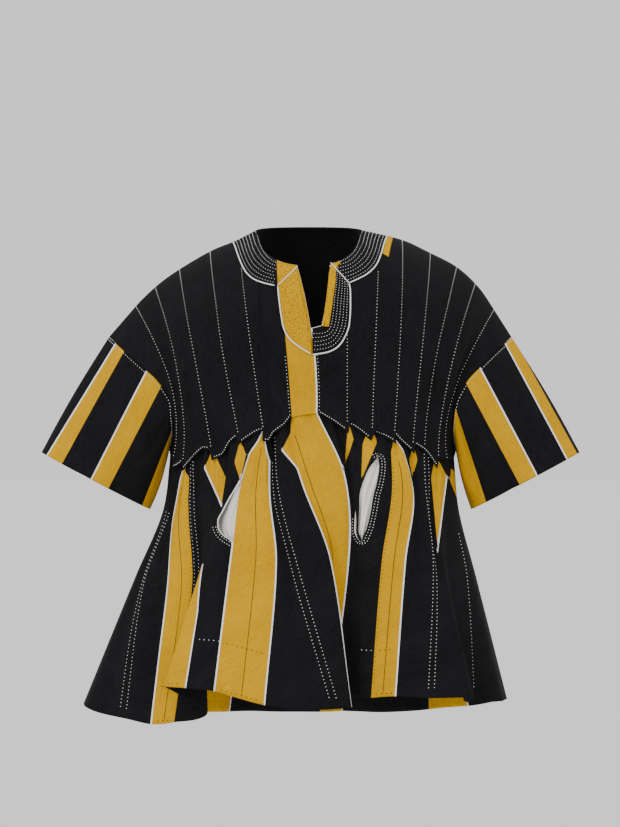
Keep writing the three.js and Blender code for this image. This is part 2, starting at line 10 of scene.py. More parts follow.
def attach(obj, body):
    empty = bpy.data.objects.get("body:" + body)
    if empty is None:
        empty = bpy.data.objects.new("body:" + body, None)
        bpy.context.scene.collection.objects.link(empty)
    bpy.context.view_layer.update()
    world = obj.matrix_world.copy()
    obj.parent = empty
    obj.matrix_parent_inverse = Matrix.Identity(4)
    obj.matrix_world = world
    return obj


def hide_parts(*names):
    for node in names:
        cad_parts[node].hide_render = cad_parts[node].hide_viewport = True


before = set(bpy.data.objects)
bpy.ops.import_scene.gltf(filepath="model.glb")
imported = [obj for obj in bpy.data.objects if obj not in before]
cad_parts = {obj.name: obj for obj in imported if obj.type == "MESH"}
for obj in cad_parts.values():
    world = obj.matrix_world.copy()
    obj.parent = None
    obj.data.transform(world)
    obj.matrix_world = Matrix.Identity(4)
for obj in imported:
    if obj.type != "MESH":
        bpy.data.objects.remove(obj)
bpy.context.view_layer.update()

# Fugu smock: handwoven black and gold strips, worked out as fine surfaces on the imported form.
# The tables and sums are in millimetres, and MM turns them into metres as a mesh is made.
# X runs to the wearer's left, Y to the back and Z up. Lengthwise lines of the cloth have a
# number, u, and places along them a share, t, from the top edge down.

MM = 0.001
CLOTH = 1.3
BAND = 1.0
NECK_HALF = 84
NECK_FRONT = 84
NECK_BACK = 78
NECK_TOP = 16
NECK_DIP = 60
NECK_RISE = 8
NECK_POWER = 2.5
NECK_BAND_WIDTH = 42
CHEST_DEPTH = 132
CHEST_HALF = 262
BACK_DEPTH = 120
CHEST_ROUNDNESS = 2.8
CHEST_EASE = 0.75
ROUNDNESS = 2.4
BACK_CHEST_SHARE = 0.82
BACK_UPPER_SHARE = 0.2
FOLD_START = 0.3
WAIST_BACK_TOP = -300
WAIST_BACK_ARCH = 48
BACK_TOP_RIGHT = -277
BACK_TOP_LEFT = 296
BACK_WAIST_RIGHT = -212
BACK_WAIST_LEFT = 219
BACK_WAIST_HALF = 227
CUFF_HALF = 98
CUFF_DEPTH = 52
CUFF_OUT = {-1: 341, 1: 346}
CUFF_HEIGHT = -385
CUFF_AXIS = (171, -90)
SLIT_FOOT = -144
SLIT_FOOT_WIDTH = 16
SLIT_WIDTH = 53
HEM_TURN = 78                     # depth of the turned-up hem
LIP = 15                          # how far a scallop of the bodice hangs over the skirt
LIP_ROOM = 2.2                    # and how far it stands off the skirt
COLUMN_STEPS = 6                  # columns from one line to the next
FULLNESS = 1.25                   # how strongly the creases below are taken
FAR = 15.0                        # distances to a stripe's edge are kept up to this
NEAR = 1e-6                       # lines this close together are the same
TINY = 1e-9
SETTLE_START = 0.7                # share of the bodice from which its sides meet the skirt
NECK_TURNS = 62                   # points round the back of the neck, with both ends
GATHER_EDGE = 0.4                 # lines at each side seam that have no gathers
SKIRT_ROWS = 92
BODICE_SAMPLES = 60
BODICE_SPACING = 1.3              # above 1, rows lie closer together at the top
LIP_START = 0.86                  # share of the bodice's rows from which it lifts off the skirt
LIP_OVER = 1.5                    # how far the lip reaches where no scallop hangs
WELD = 0.00004                    # points nearer than this are one, in metres
SLIVER = 0.000001

FRONT, BACK = -1, 1


def table(columns, rows):
    return [dict(zip(columns.split(), row)) for row in rows]


def column(rows, name):
    return np.array([row[name] for row in rows], float)


LEVELS = table("at front back", [
    (0, 118, 112),
    (0.22, 130, 124),
    (0.48, 146, 132),
    (1, 160, 152),
])
BODICE_ROWS = [0, 0.08, 0.2, 0.34, 0.46, 0.64, 0.83, 1]

# Shoulder ridge: distance from the middle, height on the wearer's right and on the left
RIDGE = table("out right left", [
    (84, 16, 16),
    (120, -2, 8),
    (150, -14, 0),
    (195, -39, -21),
    (235, -66, -42),
    (272, -100, -76),
    (298, -131, -114),
    (322, -158, -152),
])

# Armhole from the shoulder tip to the underarm
ARMHOLE = table("right left reach height", [
    (320, 324, 0, -155),
    (300, 305, 33, -172),
    (268, 275, 62, -200),
    (238, 249, 78, -227),
    (218, 232, 74, -262),
    (217, 229, 50, -300),
    (223, 235, 0, -335),
])

# Lengthwise lines of the front: X at the top, chest, waist, upper and middle skirt and hem,
# height of the waist seam and of the hem, and how far the fold stands out in the middle and
# at the hem. NONE marks a line that starts at the armhole.
NONE = math.nan
LINES = table("name top chest waist upper middle hem seam hemZ foldMiddle foldHem", [
    ("side_right", NONE, NONE, -222, -234, -277, -361, -347, -742, 0, 0),
    ("bell_right", NONE, NONE, -219, -230, -270, -336, -350, -751, -12, -20),
    ("bell_seam_right", -277, -222, -214, -226, -262, -290, -350, -759, -10, -30),
    ("outer_stripe_edge", -262, -215, -204, -219, -224, -248, -352, -767, -24, -36),
    ("outer_stripe_seam", -246, -207, -198, -206, -201, -229, -352, -766, -21, -37),
    ("outer_stripe_end", -237, -201, -192, -190, -184, -212, -348, -763, -19, -38),
    ("right_fold_far", -228, -194, -178, -174, -173, -184, -336, -760, -17, -40),
    ("right_fold_valley", -218, -187, -166, -162, -167, -160, -330, -748, -15, -38),
    ("right_fold_crest", -207, -180, -153, -152, -169, -227, -335, -703, -3, 12),
    ("fold_stripe_end", -191, -166, -137, -146, -163, -193, -335, -704, 2, 26),
    ("right_panel_middle", -175, -152, -123, -132, -148, -172, -318, -706, 6, 29),
    ("right_panel_inner", -158, -138, -110, -121, -132, -159, -312, -707, 8, 30),
    ("main_stripe_edge", -135, -115, -79, -107, -120, -146, -299, -709, 9, 30),
    ("main_stripe_seam", -112, -94, -71, -83, -83, -105, -304, -720, 11, 32),
    ("main_stripe_end", -103, -88, -64, -63, -52, -70, -309, -729, 13, 33),
    ("bell_panel_middle", -94, -82, -60, -56, -36, -11, -306, -738, 14, 28),
    ("bell_seam_front", -84, -74, -56, -48, -19, 47, -302, -736, 15, 20),
    ("front_fold_crest", -77, -60, -39, -9, 34, 67, -291, -735, 6, 2),
    ("front_fold_under", -65, -49, -34, -6, 36, 57, -287, -732, -5, -18),
    ("centre_right", -51, -37, -27, 9, 42, 42, -282, -730, -17, -29),
    ("centre_left", -19, 5, 11, 55, 62, 34, -276, -728, -22, -41),
    ("front_fold_far", 44, 34, 33, 63, 68, 50, -281, -725, -20, -44),
    ("left_panel_inner", 60, 60, 60, 69, 76, 74, -292, -721, -16, -33),
    ("left_neck_side", 84, 82, 80, 78, 81, 79, -298, -721, -13, -28),
    ("pocket_seam", 112, 105, 99, 91, 85, 84, -304, -722, -11, -25),
    ("left_stripe_edge", 138, 132, 128, 130, 114, 97, -312, -722, -3, -16),
    ("left_stripe_seam", 149, 144, 134, 147, 133, 115, -309, -720, 2, -8),
    ("left_stripe_end", 164, 156, 142, 164, 150, 134, -313, -719, 5, -1),
    ("left_panel_middle", 194, 178, 163, 174, 171, 160, -324, -720, 9, 6),
    ("bell_seam_left", 236, 202, 182, 186, 193, 185, -330, -722, 12, 11),
    ("left_panel_outer", 266, 222, 203, 197, 202, 220, -348, -722, 10, 13),
    ("left_fold_crest", 281, 230, 210, 207, 211, 259, -348, -724, 5, 7),
    ("left_fold_valley", 296, 238, 217, 215, 221, 245, -349, -730, -3, -27),
    ("side_seam_left", NONE, NONE, 227, 231, 250, 262, -349, -735, -6, -35),
    ("side_left", NONE, NONE, 232, 240, 266, 317, -348, -734, 0, 0),
])
BACK_FOLDS = table("waist middle hem hemZ foldMiddle foldHem", [
    (232, 266, 317, -734, 0, 0),
    (222, 256, 300, -742, -6, -10),
    (205, 236, 262, -752, -4, -8),
    (180, 208, 216, -756, -8, -26),
    (150, 176, 178, -764, 4, 10),
    (105, 120, 112, -768, 2, 14),
    (65, 72, 62, -764, -8, -20),
    (25, 28, 18, -768, 6, 14),
    (-20, -26, -44, -768, 6, 16),
    (-60, -70, -96, -764, -8, -18),
    (-100, -118, -146, -768, 6, 20),
    (-140, -165, -205, -768, 6, 22),
    (-175, -205, -252, -764, -8, -12),
    (-200, -238, -300, -758, 4, 6),
    (-215, -262, -340, -750, 2, 4),
    (-222, -277, -361, -742, 0, 0),
])
POCKETS = table("name line first last", [
    ("right", "main_stripe_edge", "right_fold_crest", "main_stripe_edge"),
    ("left", "pocket_seam", "left_panel_inner", "left_stripe_edge"),
])

# How far each edge of an open pocket slit lies from its seam: the height, then the shift in X
# of the edge to the wearer's right and of the one to the left
SLIT_EDGES = {
    "right": table("z right left", [
        (-376, 0, 0),
        (-397, -8, 0),
        (-413, -15, 0),
        (-429, -21, 0),
        (-445, -27, 0),
        (-457, -25, 0),
        (-468, -16, 0),
        (-477, 0, 0),
    ]),
    "left": table("z right left", [
        (-304, 0, 0),
        (-325, 5, 5),
        (-343, 12, 14),
        (-366, -1, 17),
        (-387, -8, 15),
        (-405, -11, 11),
        (-432, -10, 8),
        (-459, -10, 3),
        (-476, -4, -3),
        (-495, 0, 0),
    ]),
}

# Gold stripes of the skirt: the lines between which each runs, where its two edges stand at
# its gathered tip, where it starts, how much further down it is at its full width, where the
# white thread on its right edge starts, and which edges have one
SKIRT_STRIPES = table("first last tipFirst tipLast start full whiteFrom whiteRight whiteLeft", [
    ("outer_stripe_edge", "outer_stripe_end", 3.4, 3.4, 0, 0.07, 0, 1, 0),
    ("right_fold_crest", "fold_stripe_end", 8.5, 8.5, 0.48, 0.2, 0, 0, 1),
    ("main_stripe_edge", "main_stripe_end", 12.9, 12.9, 0, 0.1, 0, 1, 1),
    ("front_fold_crest", "centre_left", 19, 20, 0, 0.08, 0.1, 1, 1),
    ("left_stripe_edge", "left_stripe_end", 25.9, 25.9, 0, 0.06, 0, 0, 1),
])

# Small gold wedges that the gathers leave showing below the waist seam: X and Z of the tip,
# of the corners to the wearer's right and left, and of the foot. The last two say whether the
# lower edge on each side has a white thread.
WEDGES = table("tipX tipZ rightX rightZ leftX leftZ footX footZ whiteRight whiteLeft", [
    (-152, -334, -164, -362, -131, -378, -137, -420, 1, 0),
    (-108, -318, -117, -354, -99, -342, -108, -382, 0, 0),
    (62, -291, 58, -332, 70, -318, 56, -360, 0, 0),
    (96, -294, 84, -326, 107, -322, 82, -382, 0, 0),
    (164, -326, 158, -352, 171, -350, 163, -378, 0, 0),
    (200, -342, 193, -378, 218, -376, 202, -486, 0, 1),
    (-24, -298, -42, -334, -12, -318, -18, -362, 1, 0),
    (226, -364, 224, -385, 238, -378, 243, -429, 0, 0),
])

# Scallops of the bodice's lower edge, each between two seams. The first line is its low end.
SCALLOPS = table("low high", [
    ("bell_seam_right", "outer_stripe_seam"),
    ("outer_stripe_seam", "right_fold_crest"),
    ("right_fold_crest", "right_panel_inner"),
    ("right_panel_inner", "main_stripe_seam"),
    ("main_stripe_seam", "centre_right"),
    ("left_panel_inner", "centre_left"),
    ("pocket_seam", "left_panel_inner"),
    ("left_stripe_seam", "pocket_seam"),
    ("left_panel_middle", "left_stripe_seam"),
    ("left_panel_outer", "left_panel_middle"),
])

# Stripes of the sleeves, seen from the front: X and Z of the four corners, the armhole's first,
# and which edge has a white thread
SLEEVE_STRIPES = table("hand topOutX topOutZ topInX topInZ hemOutX hemOutZ hemInX hemInZ whiteOut whiteIn", [
    (-1, -307, -166, -293, -177, -418, -347, -395, -362, 1, 0),
    (-1, -256, -211, -229, -226, -347, -387, -320, -400, 1, 0),
    (-1, -224, -320, -214, -334, -267, -427, -248, -434, 0, 1),
    (1, 328, -158, 317, -172, 426, -338, 411, -349, 0, 1),
    (1, 272, -210, 246, -226, 363, -380, 336, -394, 1, 0),
    (1, 246, -312, 232, -326, 282, -419, 254, -430, 0, 1),
])

# Gold stripes of the back skirt, by X at the waist
BACK_STRIPES = table("first last", [
    (165, 203),
    (25, 56),
    (-131, -88),
])

# Creases of each surface: line number, where it starts and ends down the line, how many lines
# it drifts, half width and depth. A negative depth is a ridge.
CREASE = "at start end drift width depth"
CREASES = {
    "bodice_front": table(CREASE, [
        (3.2, 0.04, 0.98, -0.6, 13, 5.5),
        (5.6, 0.1, 0.8, -0.8, 10, -3.1),
        (8.2, 0.3, 1.1, 0.6, 9, 2.6),
        (10.4, 0.0, 0.5, 0.9, 12, 2.4),
        (12.3, 0.45, 1.1, 0.5, 8, -2.2),
        (15.2, 0.35, 1.05, 0.7, 9, 2.4),
        (22.8, 0.25, 1.05, -0.4, 9, 2.6),
        (24.6, 0.5, 1.1, -0.3, 7, -2.2),
        (26.8, 0.1, 0.9, -0.6, 11, 2.9),
        (28.9, 0.25, 1.05, 0.4, 9, 3.8),
        (30.4, 0.02, 0.8, 0.5, 10, -4.1),
        (31.6, 0.15, 1.0, 0.3, 9, 5.8),
    ]),
    "skirt_front": table(CREASE, [
        (1.1, 0.1, 1.2, 0.3, 12, 3.0),
        (2.6, -0.1, 0.7, 0.3, 9, 4.0),
        (4.6, 0.0, 0.45, -0.3, 6, -2.6),
        (6.2, -0.1, 0.55, -0.2, 8, 5.0),
        (9.6, -0.1, 0.5, -0.5, 8, 4.0),
        (10.8, 0.15, 1.1, 0.3, 14, -3.2),
        (11.6, -0.1, 0.35, 0.0, 6, 3.6),
        (13.3, 0.1, 0.9, 0.4, 10, -2.2),
        (15.1, -0.1, 0.75, 0.1, 8, 4.6),
        (16.6, 0.0, 0.6, 0.1, 8, -3.0),
        (18.6, 0.3, 0.9, 0.3, 7, 2.6),
        (21.4, -0.1, 0.7, -0.3, 8, 5.0),
        (25.8, 0.2, 1.0, -0.2, 10, -2.6),
        (27.9, -0.1, 0.6, 0.2, 8, 5.2),
        (28.8, 0.15, 1.1, 0.3, 12, -3.2),
        (29.8, -0.1, 0.5, -0.2, 7, 4.6),
        (31.0, 0.1, 1.0, 0.1, 9, -3.0),
    ]),
    "bodice_back": table(CREASE, [
        (4.0, 0.1, 1.0, 0.9, 14, 6.6),
        (7.5, 0.3, 1.1, -0.5, 10, 3.9),
        (11.0, 0.2, 1.0, 0.8, 12, -3.9),
        (15.0, 0.4, 1.1, -0.4, 9, 3.6),
        (19.0, 0.25, 1.05, 0.6, 10, 3.0),
        (23.0, 0.4, 1.1, 0.3, 9, -3.3),
        (27.0, 0.2, 0.95, -0.7, 13, 4.2),
        (31.0, 0.1, 1.0, 0.5, 13, 6.6),
    ]),
    "skirt_back": table(CREASE, [
        (2.0, -0.1, 0.8, 0.4, 9, 6.8),
        (5.0, 0.0, 0.6, -0.5, 8, -5.1),
        (8.5, -0.1, 0.7, 0.6, 9, 8.2),
        (12.0, 0.1, 1.1, -0.3, 12, -5.1),
        (14.5, -0.1, 0.5, 0.3, 7, 7.1),
        (18.0, -0.1, 0.8, 0.5, 9, 7.8),
        (21.5, 0.1, 1.0, -0.6, 11, -4.8),
        (24.5, -0.1, 0.6, 0.2, 8, 7.8),
        (28.0, -0.1, 0.7, -0.4, 9, 7.1),
        (32.0, 0.0, 1.1, 0.3, 12, -5.8),
    ]),
    "sleeve": table(CREASE, [
        (0.9, 0.05, 0.8, 0.3, 12, 3.0),
        (2.2, -0.1, 0.6, -0.4, 10, -2.6),
        (3.1, 0.2, 1.1, 0.5, 12, 3.2),
        (4.4, -0.1, 0.7, 0.4, 11, 4.0),
        (5.4, 0.1, 1.0, -0.3, 10, -3.0),
        (7.1, 0.0, 0.8, 0.4, 12, 3.4),
        (8.6, 0.1, 1.1, -0.4, 11, 3.0),
        (10.3, -0.1, 0.7, 0.3, 12, 2.8),
    ]),
}


# Sums on rows and columns of points

def through(xs, values, x):
    """Smooth curve through the rows of values, which stand at xs."""
    xs = np.asarray(xs, float)
    values = np.asarray(values, float)
    x = np.asarray(x, float)
    i = np.clip(np.searchsorted(xs, x, side="right") - 1, 0, len(xs) - 2)
    numbers = np.arange(len(xs))
    low = np.maximum(numbers - 1, 0)
    high = np.minimum(numbers + 1, len(xs) - 1)
    slopes = (values[high] - values[low]) / (xs[high] - xs[low])[:, None]
    span = (xs[i + 1] - xs[i])[:, None]
    f = (x[:, None] - xs[i][:, None]) / span
    hermite = values[i] * (2 * f**3 - 3 * f**2 + 1) + values[i + 1] * (3 * f**2 - 2 * f**3)
    return hermite + span * (slopes[i] * (f**3 - 2 * f**2 + f) + slopes[i + 1] * (f**3 - f**2))


def curve(xs, values, x):
    """Smooth curve through values that never swings past them."""
    xs = np.asarray(xs, float)
    values = np.asarray(values, float)
    gaps = np.diff(xs)
    rates = np.diff(values) / gaps
    slopes = np.zeros_like(values)
    same = rates[:-1] * rates[1:] > 0
    before, after = rates[:-1][same], rates[1:][same]
    first = (2 * gaps[1:] + gaps[:-1])[same]
    second = (gaps[1:] + 2 * gaps[:-1])[same]
    slopes[1:-1][same] = (first + second) / (first / before + second / after)
    slopes[0], slopes[-1] = rates[0], rates[-1]
    x = np.clip(np.asarray(x, float), xs[0], xs[-1])
    i = np.clip(np.searchsorted(xs, x, side="right") - 1, 0, len(xs) - 2)
    f = (x - xs[i]) / gaps[i]
    return (values[i] * (2 * f**3 - 3 * f**2 + 1) + values[i + 1] * (3 * f**2 - 2 * f**3)
            + gaps[i] * (slopes[i] * (f**3 - 2 * f**2 + f) + slopes[i + 1] * (f**3 - f**2)))


def mix(a, b, f):
    return a + (b - a) * f


def unit(rows, least=0.0):
    """The rows at length one. Least keeps a row of nothing from a division by nothing."""
    return rows / (np.linalg.norm(rows, axis=-1, keepdims=True) + least)


def gone_along(path):
    """Length along a path from its start to each of its points."""
    return np.concatenate([[0], np.cumsum(np.linalg.norm(np.diff(path, axis=0), axis=1))])


def sampled(place, along, rows):
    """The row at a place, where the rows stand at the given lengths."""
    return [np.interp(place, along, rows[:, k]) for k in range(rows.shape[1])]


def places_across(at, columns_u, across):
    """How far over the cloth each row's line lies."""
    return np.array([np.interp(a, columns_u, row) for a, row in zip(at, across)])[:, None]


def corners_of(row, *names):
    return [(row[name + "X"], row[name + "Z"]) for name in names]


def oval(out, half, depth, power):
    return depth * (1 - np.clip(np.abs(out / half), 0, 1) ** power) ** (1 / power)


def number(name):
    return next(i for i, row in enumerate(LINES) if row["name"] == name)


def axis_points(points):
    """The points of the upright axis at the same heights."""
    inner = points.copy()
    inner[..., :2] = 0
    return inner


def normals_of(points, middle=None):
    """Unit normals of a grid, turned away from its middle, or else from the upright axis."""
    across = np.gradient(points, axis=1)
    down = np.gradient(points, axis=0)
    normals = unit(np.cross(down, across), TINY)
    away = np.sum(normals * (points - (axis_points(points) if middle is None else middle)), axis=2)
    return normals * (1 if away.sum() > 0 else -1)


def lengths_across(points):
    steps = np.linalg.norm(np.diff(points, axis=1), axis=2)
    return np.concatenate([np.zeros((points.shape[0], 1)), np.cumsum(steps, axis=1)], axis=1)


def lengths_down(points):
    steps = np.linalg.norm(np.diff(points, axis=0), axis=2)
    return np.concatenate([np.zeros((1, points.shape[1])), np.cumsum(steps, axis=0)], axis=0)


def cloth_places(points):
    """Places on the flat cloth, which the weave follows."""
    across = lengths_across(points)
    return np.stack([across, lengths_down(points), 0 * across], axis=2)


# The form of the cloth

LEVEL_AT = column(LEVELS, "at")
SIDES = [LINES[0], LINES[-1]]
LAST = len(LINES) - 1
FIRST_TOP, LAST_TOP = 2, LAST - 2


def top_points(x, side):
    heights = np.where(
        x < 0,
        curve(column(RIDGE, "out"), column(RIDGE, "right"), np.abs(x)),
        curve(column(RIDGE, "out"), column(RIDGE, "left"), np.abs(x)),
    )
    share = np.sqrt(1 - np.clip(np.abs(x / NECK_HALF), 0, 1) ** NECK_POWER)
    neck = np.abs(x) < NECK_HALF
    if side == FRONT:
        y, z = -NECK_FRONT * share, NECK_TOP - NECK_DIP * share
    else:
        y, z = NECK_BACK * share, NECK_TOP + NECK_RISE * share
    return np.stack([x, np.where(neck, y, 0), np.where(neck, z, heights)], axis=1)


def skirt_points(lines, t, side):
    levels = ["waist", "upper", "middle", "hem"]
    x = through(LEVEL_AT, [lines[level] for level in levels], t)
    ends = np.array([[SIDES[0][level], SIDES[1][level]] for level in levels], float)
    ends = through(LEVEL_AT, ends, t)
    middle, half = ends.mean(axis=1)[:, None], (ends[:, 1] - ends[:, 0])[:, None] / 2
    depths = column(LEVELS, "front" if side == FRONT else "back")[:, None]
    fold = lines["foldMiddle"]
    folds = [0 * fold, FOLD_START * fold, fold, lines["foldHem"]]
    depth = oval(x - middle, half, through(LEVEL_AT, depths, t), ROUNDNESS)
    y = side * (depth + through(LEVEL_AT, folds, t))
    z = mix(lines["seam"][None, :], lines["hemZ"][None, :], t[:, None])
    return np.stack([x, y, z], axis=2)


def armhole_curve(hand, t, side):
    """The armhole's edge down to the waist, at the same shares as the bodice's rows."""
    end = SIDES[0 if hand < 0 else 1]
    out = list(hand * column(ARMHOLE, "right" if hand < 0 else "left")) + [end["waist"]]
    reach = list(side * column(ARMHOLE, "reach")) + [0]
    height = list(column(ARMHOLE, "height")) + [end["seam"]]
    return np.stack([curve(BODICE_ROWS, part, t) for part in (out, reach, height)], axis=1)


def bodice_points(lines, t, side):
    top = top_points(lines["top"], side)[None]
    waist = skirt_points(lines, np.zeros(1), side)
    reach = CHEST_DEPTH if side == FRONT else BACK_DEPTH
    chest_y = side * oval(lines["chest"], CHEST_HALF, reach, CHEST_ROUNDNESS)
    chest = np.stack([lines["chest"], chest_y, (top[0, :, 2] + waist[0, :, 2]) / 2], axis=1)[None]
    s = t[:, None, None]
    points = (s - 0.5) * (s - 1) * 2 * top - 4 * s * (s - 1) * chest + s * (s - 0.5) * 2 * waist
    drop = np.clip(t * 2, 0, 1)[:, None]
    settle = np.clip(t * 2 - 1, 0, 1)[:, None]
    upper = mix(top[..., 1], chest[..., 1], (1 - (1 - drop) ** 2) ** CHEST_EASE)
    lower = mix(chest[..., 1], waist[..., 1], settle**2 * (3 - 2 * settle))
    points[..., 1] = np.where(t[:, None] < 0.5, upper, lower)
    for hand in (-1, 1):
        beyond = lines["beyond"] * hand > 0
        share = np.abs(lines["beyond"])[beyond][None, :, None]
        edge = armhole_curve(hand, t, side)[:, None]
        points[:, beyond] = mix(points[:, beyond], edge, share)
        settled = (np.clip((t - SETTLE_START) / 0.3, 0, 1) ** 2)[:, None, None]
        points[:, beyond] += settled * (waist[:, beyond] - points[-1:, beyond])
    return points


def front_lines(u):
    numbers = np.arange(len(LINES))
    lines = {name: curve(numbers, column(LINES, name), u)
             for name in ("waist", "upper", "middle", "hem", "seam", "hemZ", "foldMiddle", "foldHem")}
    held = slice(FIRST_TOP, LAST_TOP + 1)
    for name in ("top", "chest"):
        lines[name] = curve(numbers[held], column(LINES, name)[held], u)
    right = np.clip((FIRST_TOP - u) / FIRST_TOP, 0, 1)
    left = np.clip((u - LAST_TOP) / (LAST - LAST_TOP), 0, 1)
    lines["beyond"] = left - right
    return lines


def back_lines(front, u):
    """Lines of the back: they share the ridge and side points of the front's lines."""
    ridge = (np.abs(front["top"]) >= NECK_HALF - NEAR) | (front["beyond"] != 0)
    left = [i for i in range(len(u)) if ridge[i] and u[i] > LAST / 2][::-1]
    right = [i for i in range(len(u)) if ridge[i] and u[i] < LAST / 2][::-1]
    turns = np.linspace(0, math.pi, NECK_TURNS)[1:-1]
    top = np.concatenate([front["top"][left], NECK_HALF * np.cos(turns), front["top"][right]])
    beyond = np.concatenate([front["beyond"][left], 0 * turns, front["beyond"][right]])
    outer = np.where(top < 0, BACK_TOP_RIGHT, BACK_TOP_LEFT)
    waist = top / outer * np.where(top < 0, BACK_WAIST_RIGHT, BACK_WAIST_LEFT)
    ends = np.concatenate([front["waist"][left], 0 * turns, front["waist"][right]])
    waist = np.where(beyond == 0, waist, np.sign(waist) * np.maximum(np.abs(waist), np.abs(ends)))
    share = np.abs(beyond)
    limit = np.where(top < 0, SIDES[0]["waist"], SIDES[1]["waist"])
    start = np.where(top < 0, BACK_WAIST_RIGHT, BACK_WAIST_LEFT)
    waist = np.where(share > 0, mix(start, limit, share), waist)
    along = -column(BACK_FOLDS, "waist")

    def at(name):
        return curve(along, column(BACK_FOLDS, name), -waist)

    arch = WAIST_BACK_TOP - WAIST_BACK_ARCH * (waist / BACK_WAIST_HALF) ** 2
    sides = np.where(top < 0, SIDES[0]["seam"], SIDES[1]["seam"])
    lines = {
        "top": top,
        "chest": top * BACK_CHEST_SHARE,
        "waist": waist,
        "middle": at("middle"),
        "hem": at("hem"),
        "hemZ": at("hemZ"),
        "foldMiddle": at("foldMiddle"),
        "foldHem": at("foldHem"),
        "seam": mix(arch, sides, share),
        "beyond": beyond,
    }
    lines["upper"] = mix(waist, lines["middle"], BACK_UPPER_SHARE)
    for end, place in ((SIDES[1], 0), (SIDES[0], -1)):
        lines["upper"][place] = end["upper"]
    return lines


def fade(along, open_top, open_foot):
    """Strength of a crease along its length: it dies out softly at each closed end."""
    value = np.sin(math.pi * np.clip(along, 0, 1))
    if open_top:
        value = np.where(along < 0.5, 1, value)
    if open_foot:
        value = np.where(along > 0.5, 1, value)
    return np.where((along < 0) | (along > 1), 0, value) ** 0.9


def creased(points, u, t, creases):
    across = lengths_across(points)
    push = np.zeros(points.shape[:2])
    for crease in creases:
        along = (t - crease["start"]) / (crease["end"] - crease["start"])
        strength = fade(along, crease["start"] < 0, crease["end"] > 1)
        at = crease["at"] + crease["drift"] * np.clip(along, 0, 1)
        away = (across - places_across(at, u, across)) / crease["width"]
        push -= FULLNESS * crease["depth"] * strength[:, None] * np.exp(-away**2)
    edges = np.minimum(u - u[0], u[-1] - u)
    push *= np.clip(edges, 0, 1)[None]
    return points + normals_of(points) * push[..., None]


def gathers(seed, count):
    """Small uneven pleats below the waist seam."""
    chance = np.random.default_rng(seed)
    rows = []
    for i in range(count):
        at = mix(GATHER_EDGE, LAST - GATHER_EDGE, (i + 0.5 + chance.uniform(-0.3, 0.3)) / count)
        rows.append((at, -0.1, chance.uniform(0.1, 0.3), chance.uniform(-0.25, 0.25),
                     chance.uniform(3.0, 5.4), chance.uniform(1.8, 4.6)))
    return table(CREASE, rows)


# Distances to the edges of the gold stripes

def stripes_across(points, u, t, stripes):
    across = lengths_across(points)
    gold = np.full(points.shape[:2], -FAR)
    white = np.zeros(points.shape[:2])
    for stripe in stripes:
        opened = np.clip((t - stripe["start"]) / stripe["full"], 0, 1)
        first = mix(stripe["tipFirst"], stripe["first"], opened)
        last = mix(stripe["tipLast"], stripe["last"], opened)
        right = across - places_across(first, u, across)
        left = places_across(last, u, across) - across
        inside = np.minimum(right, left) - np.where(t < stripe["start"], FAR, 0)[:, None]
        white_right = np.where(t < stripe["whiteFrom"], 0, stripe["whiteRight"])[:, None]
        edge = np.where(np.abs(right) < np.abs(left), white_right, stripe["whiteLeft"])
        nearer = inside > gold
        gold = np.where(nearer, inside, gold)
        white = np.where(nearer, edge, white)
    return gold, white


def inside_of(points, corners):
    """Distance inward from the nearest edge of a four-cornered outline, in X and Z."""
    distances = []
    middle = np.mean(corners, axis=0)
    for a, b in zip(corners, corners[1:] + corners[:1]):
        normal = np.array([a[1] - b[1], b[0] - a[0]], float)
        normal /= np.linalg.norm(normal)
        if np.dot(normal, middle - np.array(a)) < 0:
            normal = -normal
        distances.append((points[..., 0] - a[0]) * normal[0] + (points[..., 2] - a[1]) * normal[1])
    return distances


# Meshes

def placed(name, mesh, material):
    mesh.polygons.foreach_set("use_smooth", [True] * len(mesh.polygons))
    piece = bpy.data.objects.new(name, mesh)
    bpy.context.collection.objects.link(piece)
    piece.data.materials.append(material)
    return piece


def thread_piece(name, vertices, faces, material):
    mesh = bpy.data.meshes.new(name)
    mesh.from_pydata((np.array(vertices) * MM).tolist(), [], faces)
    return placed(name, mesh, material)


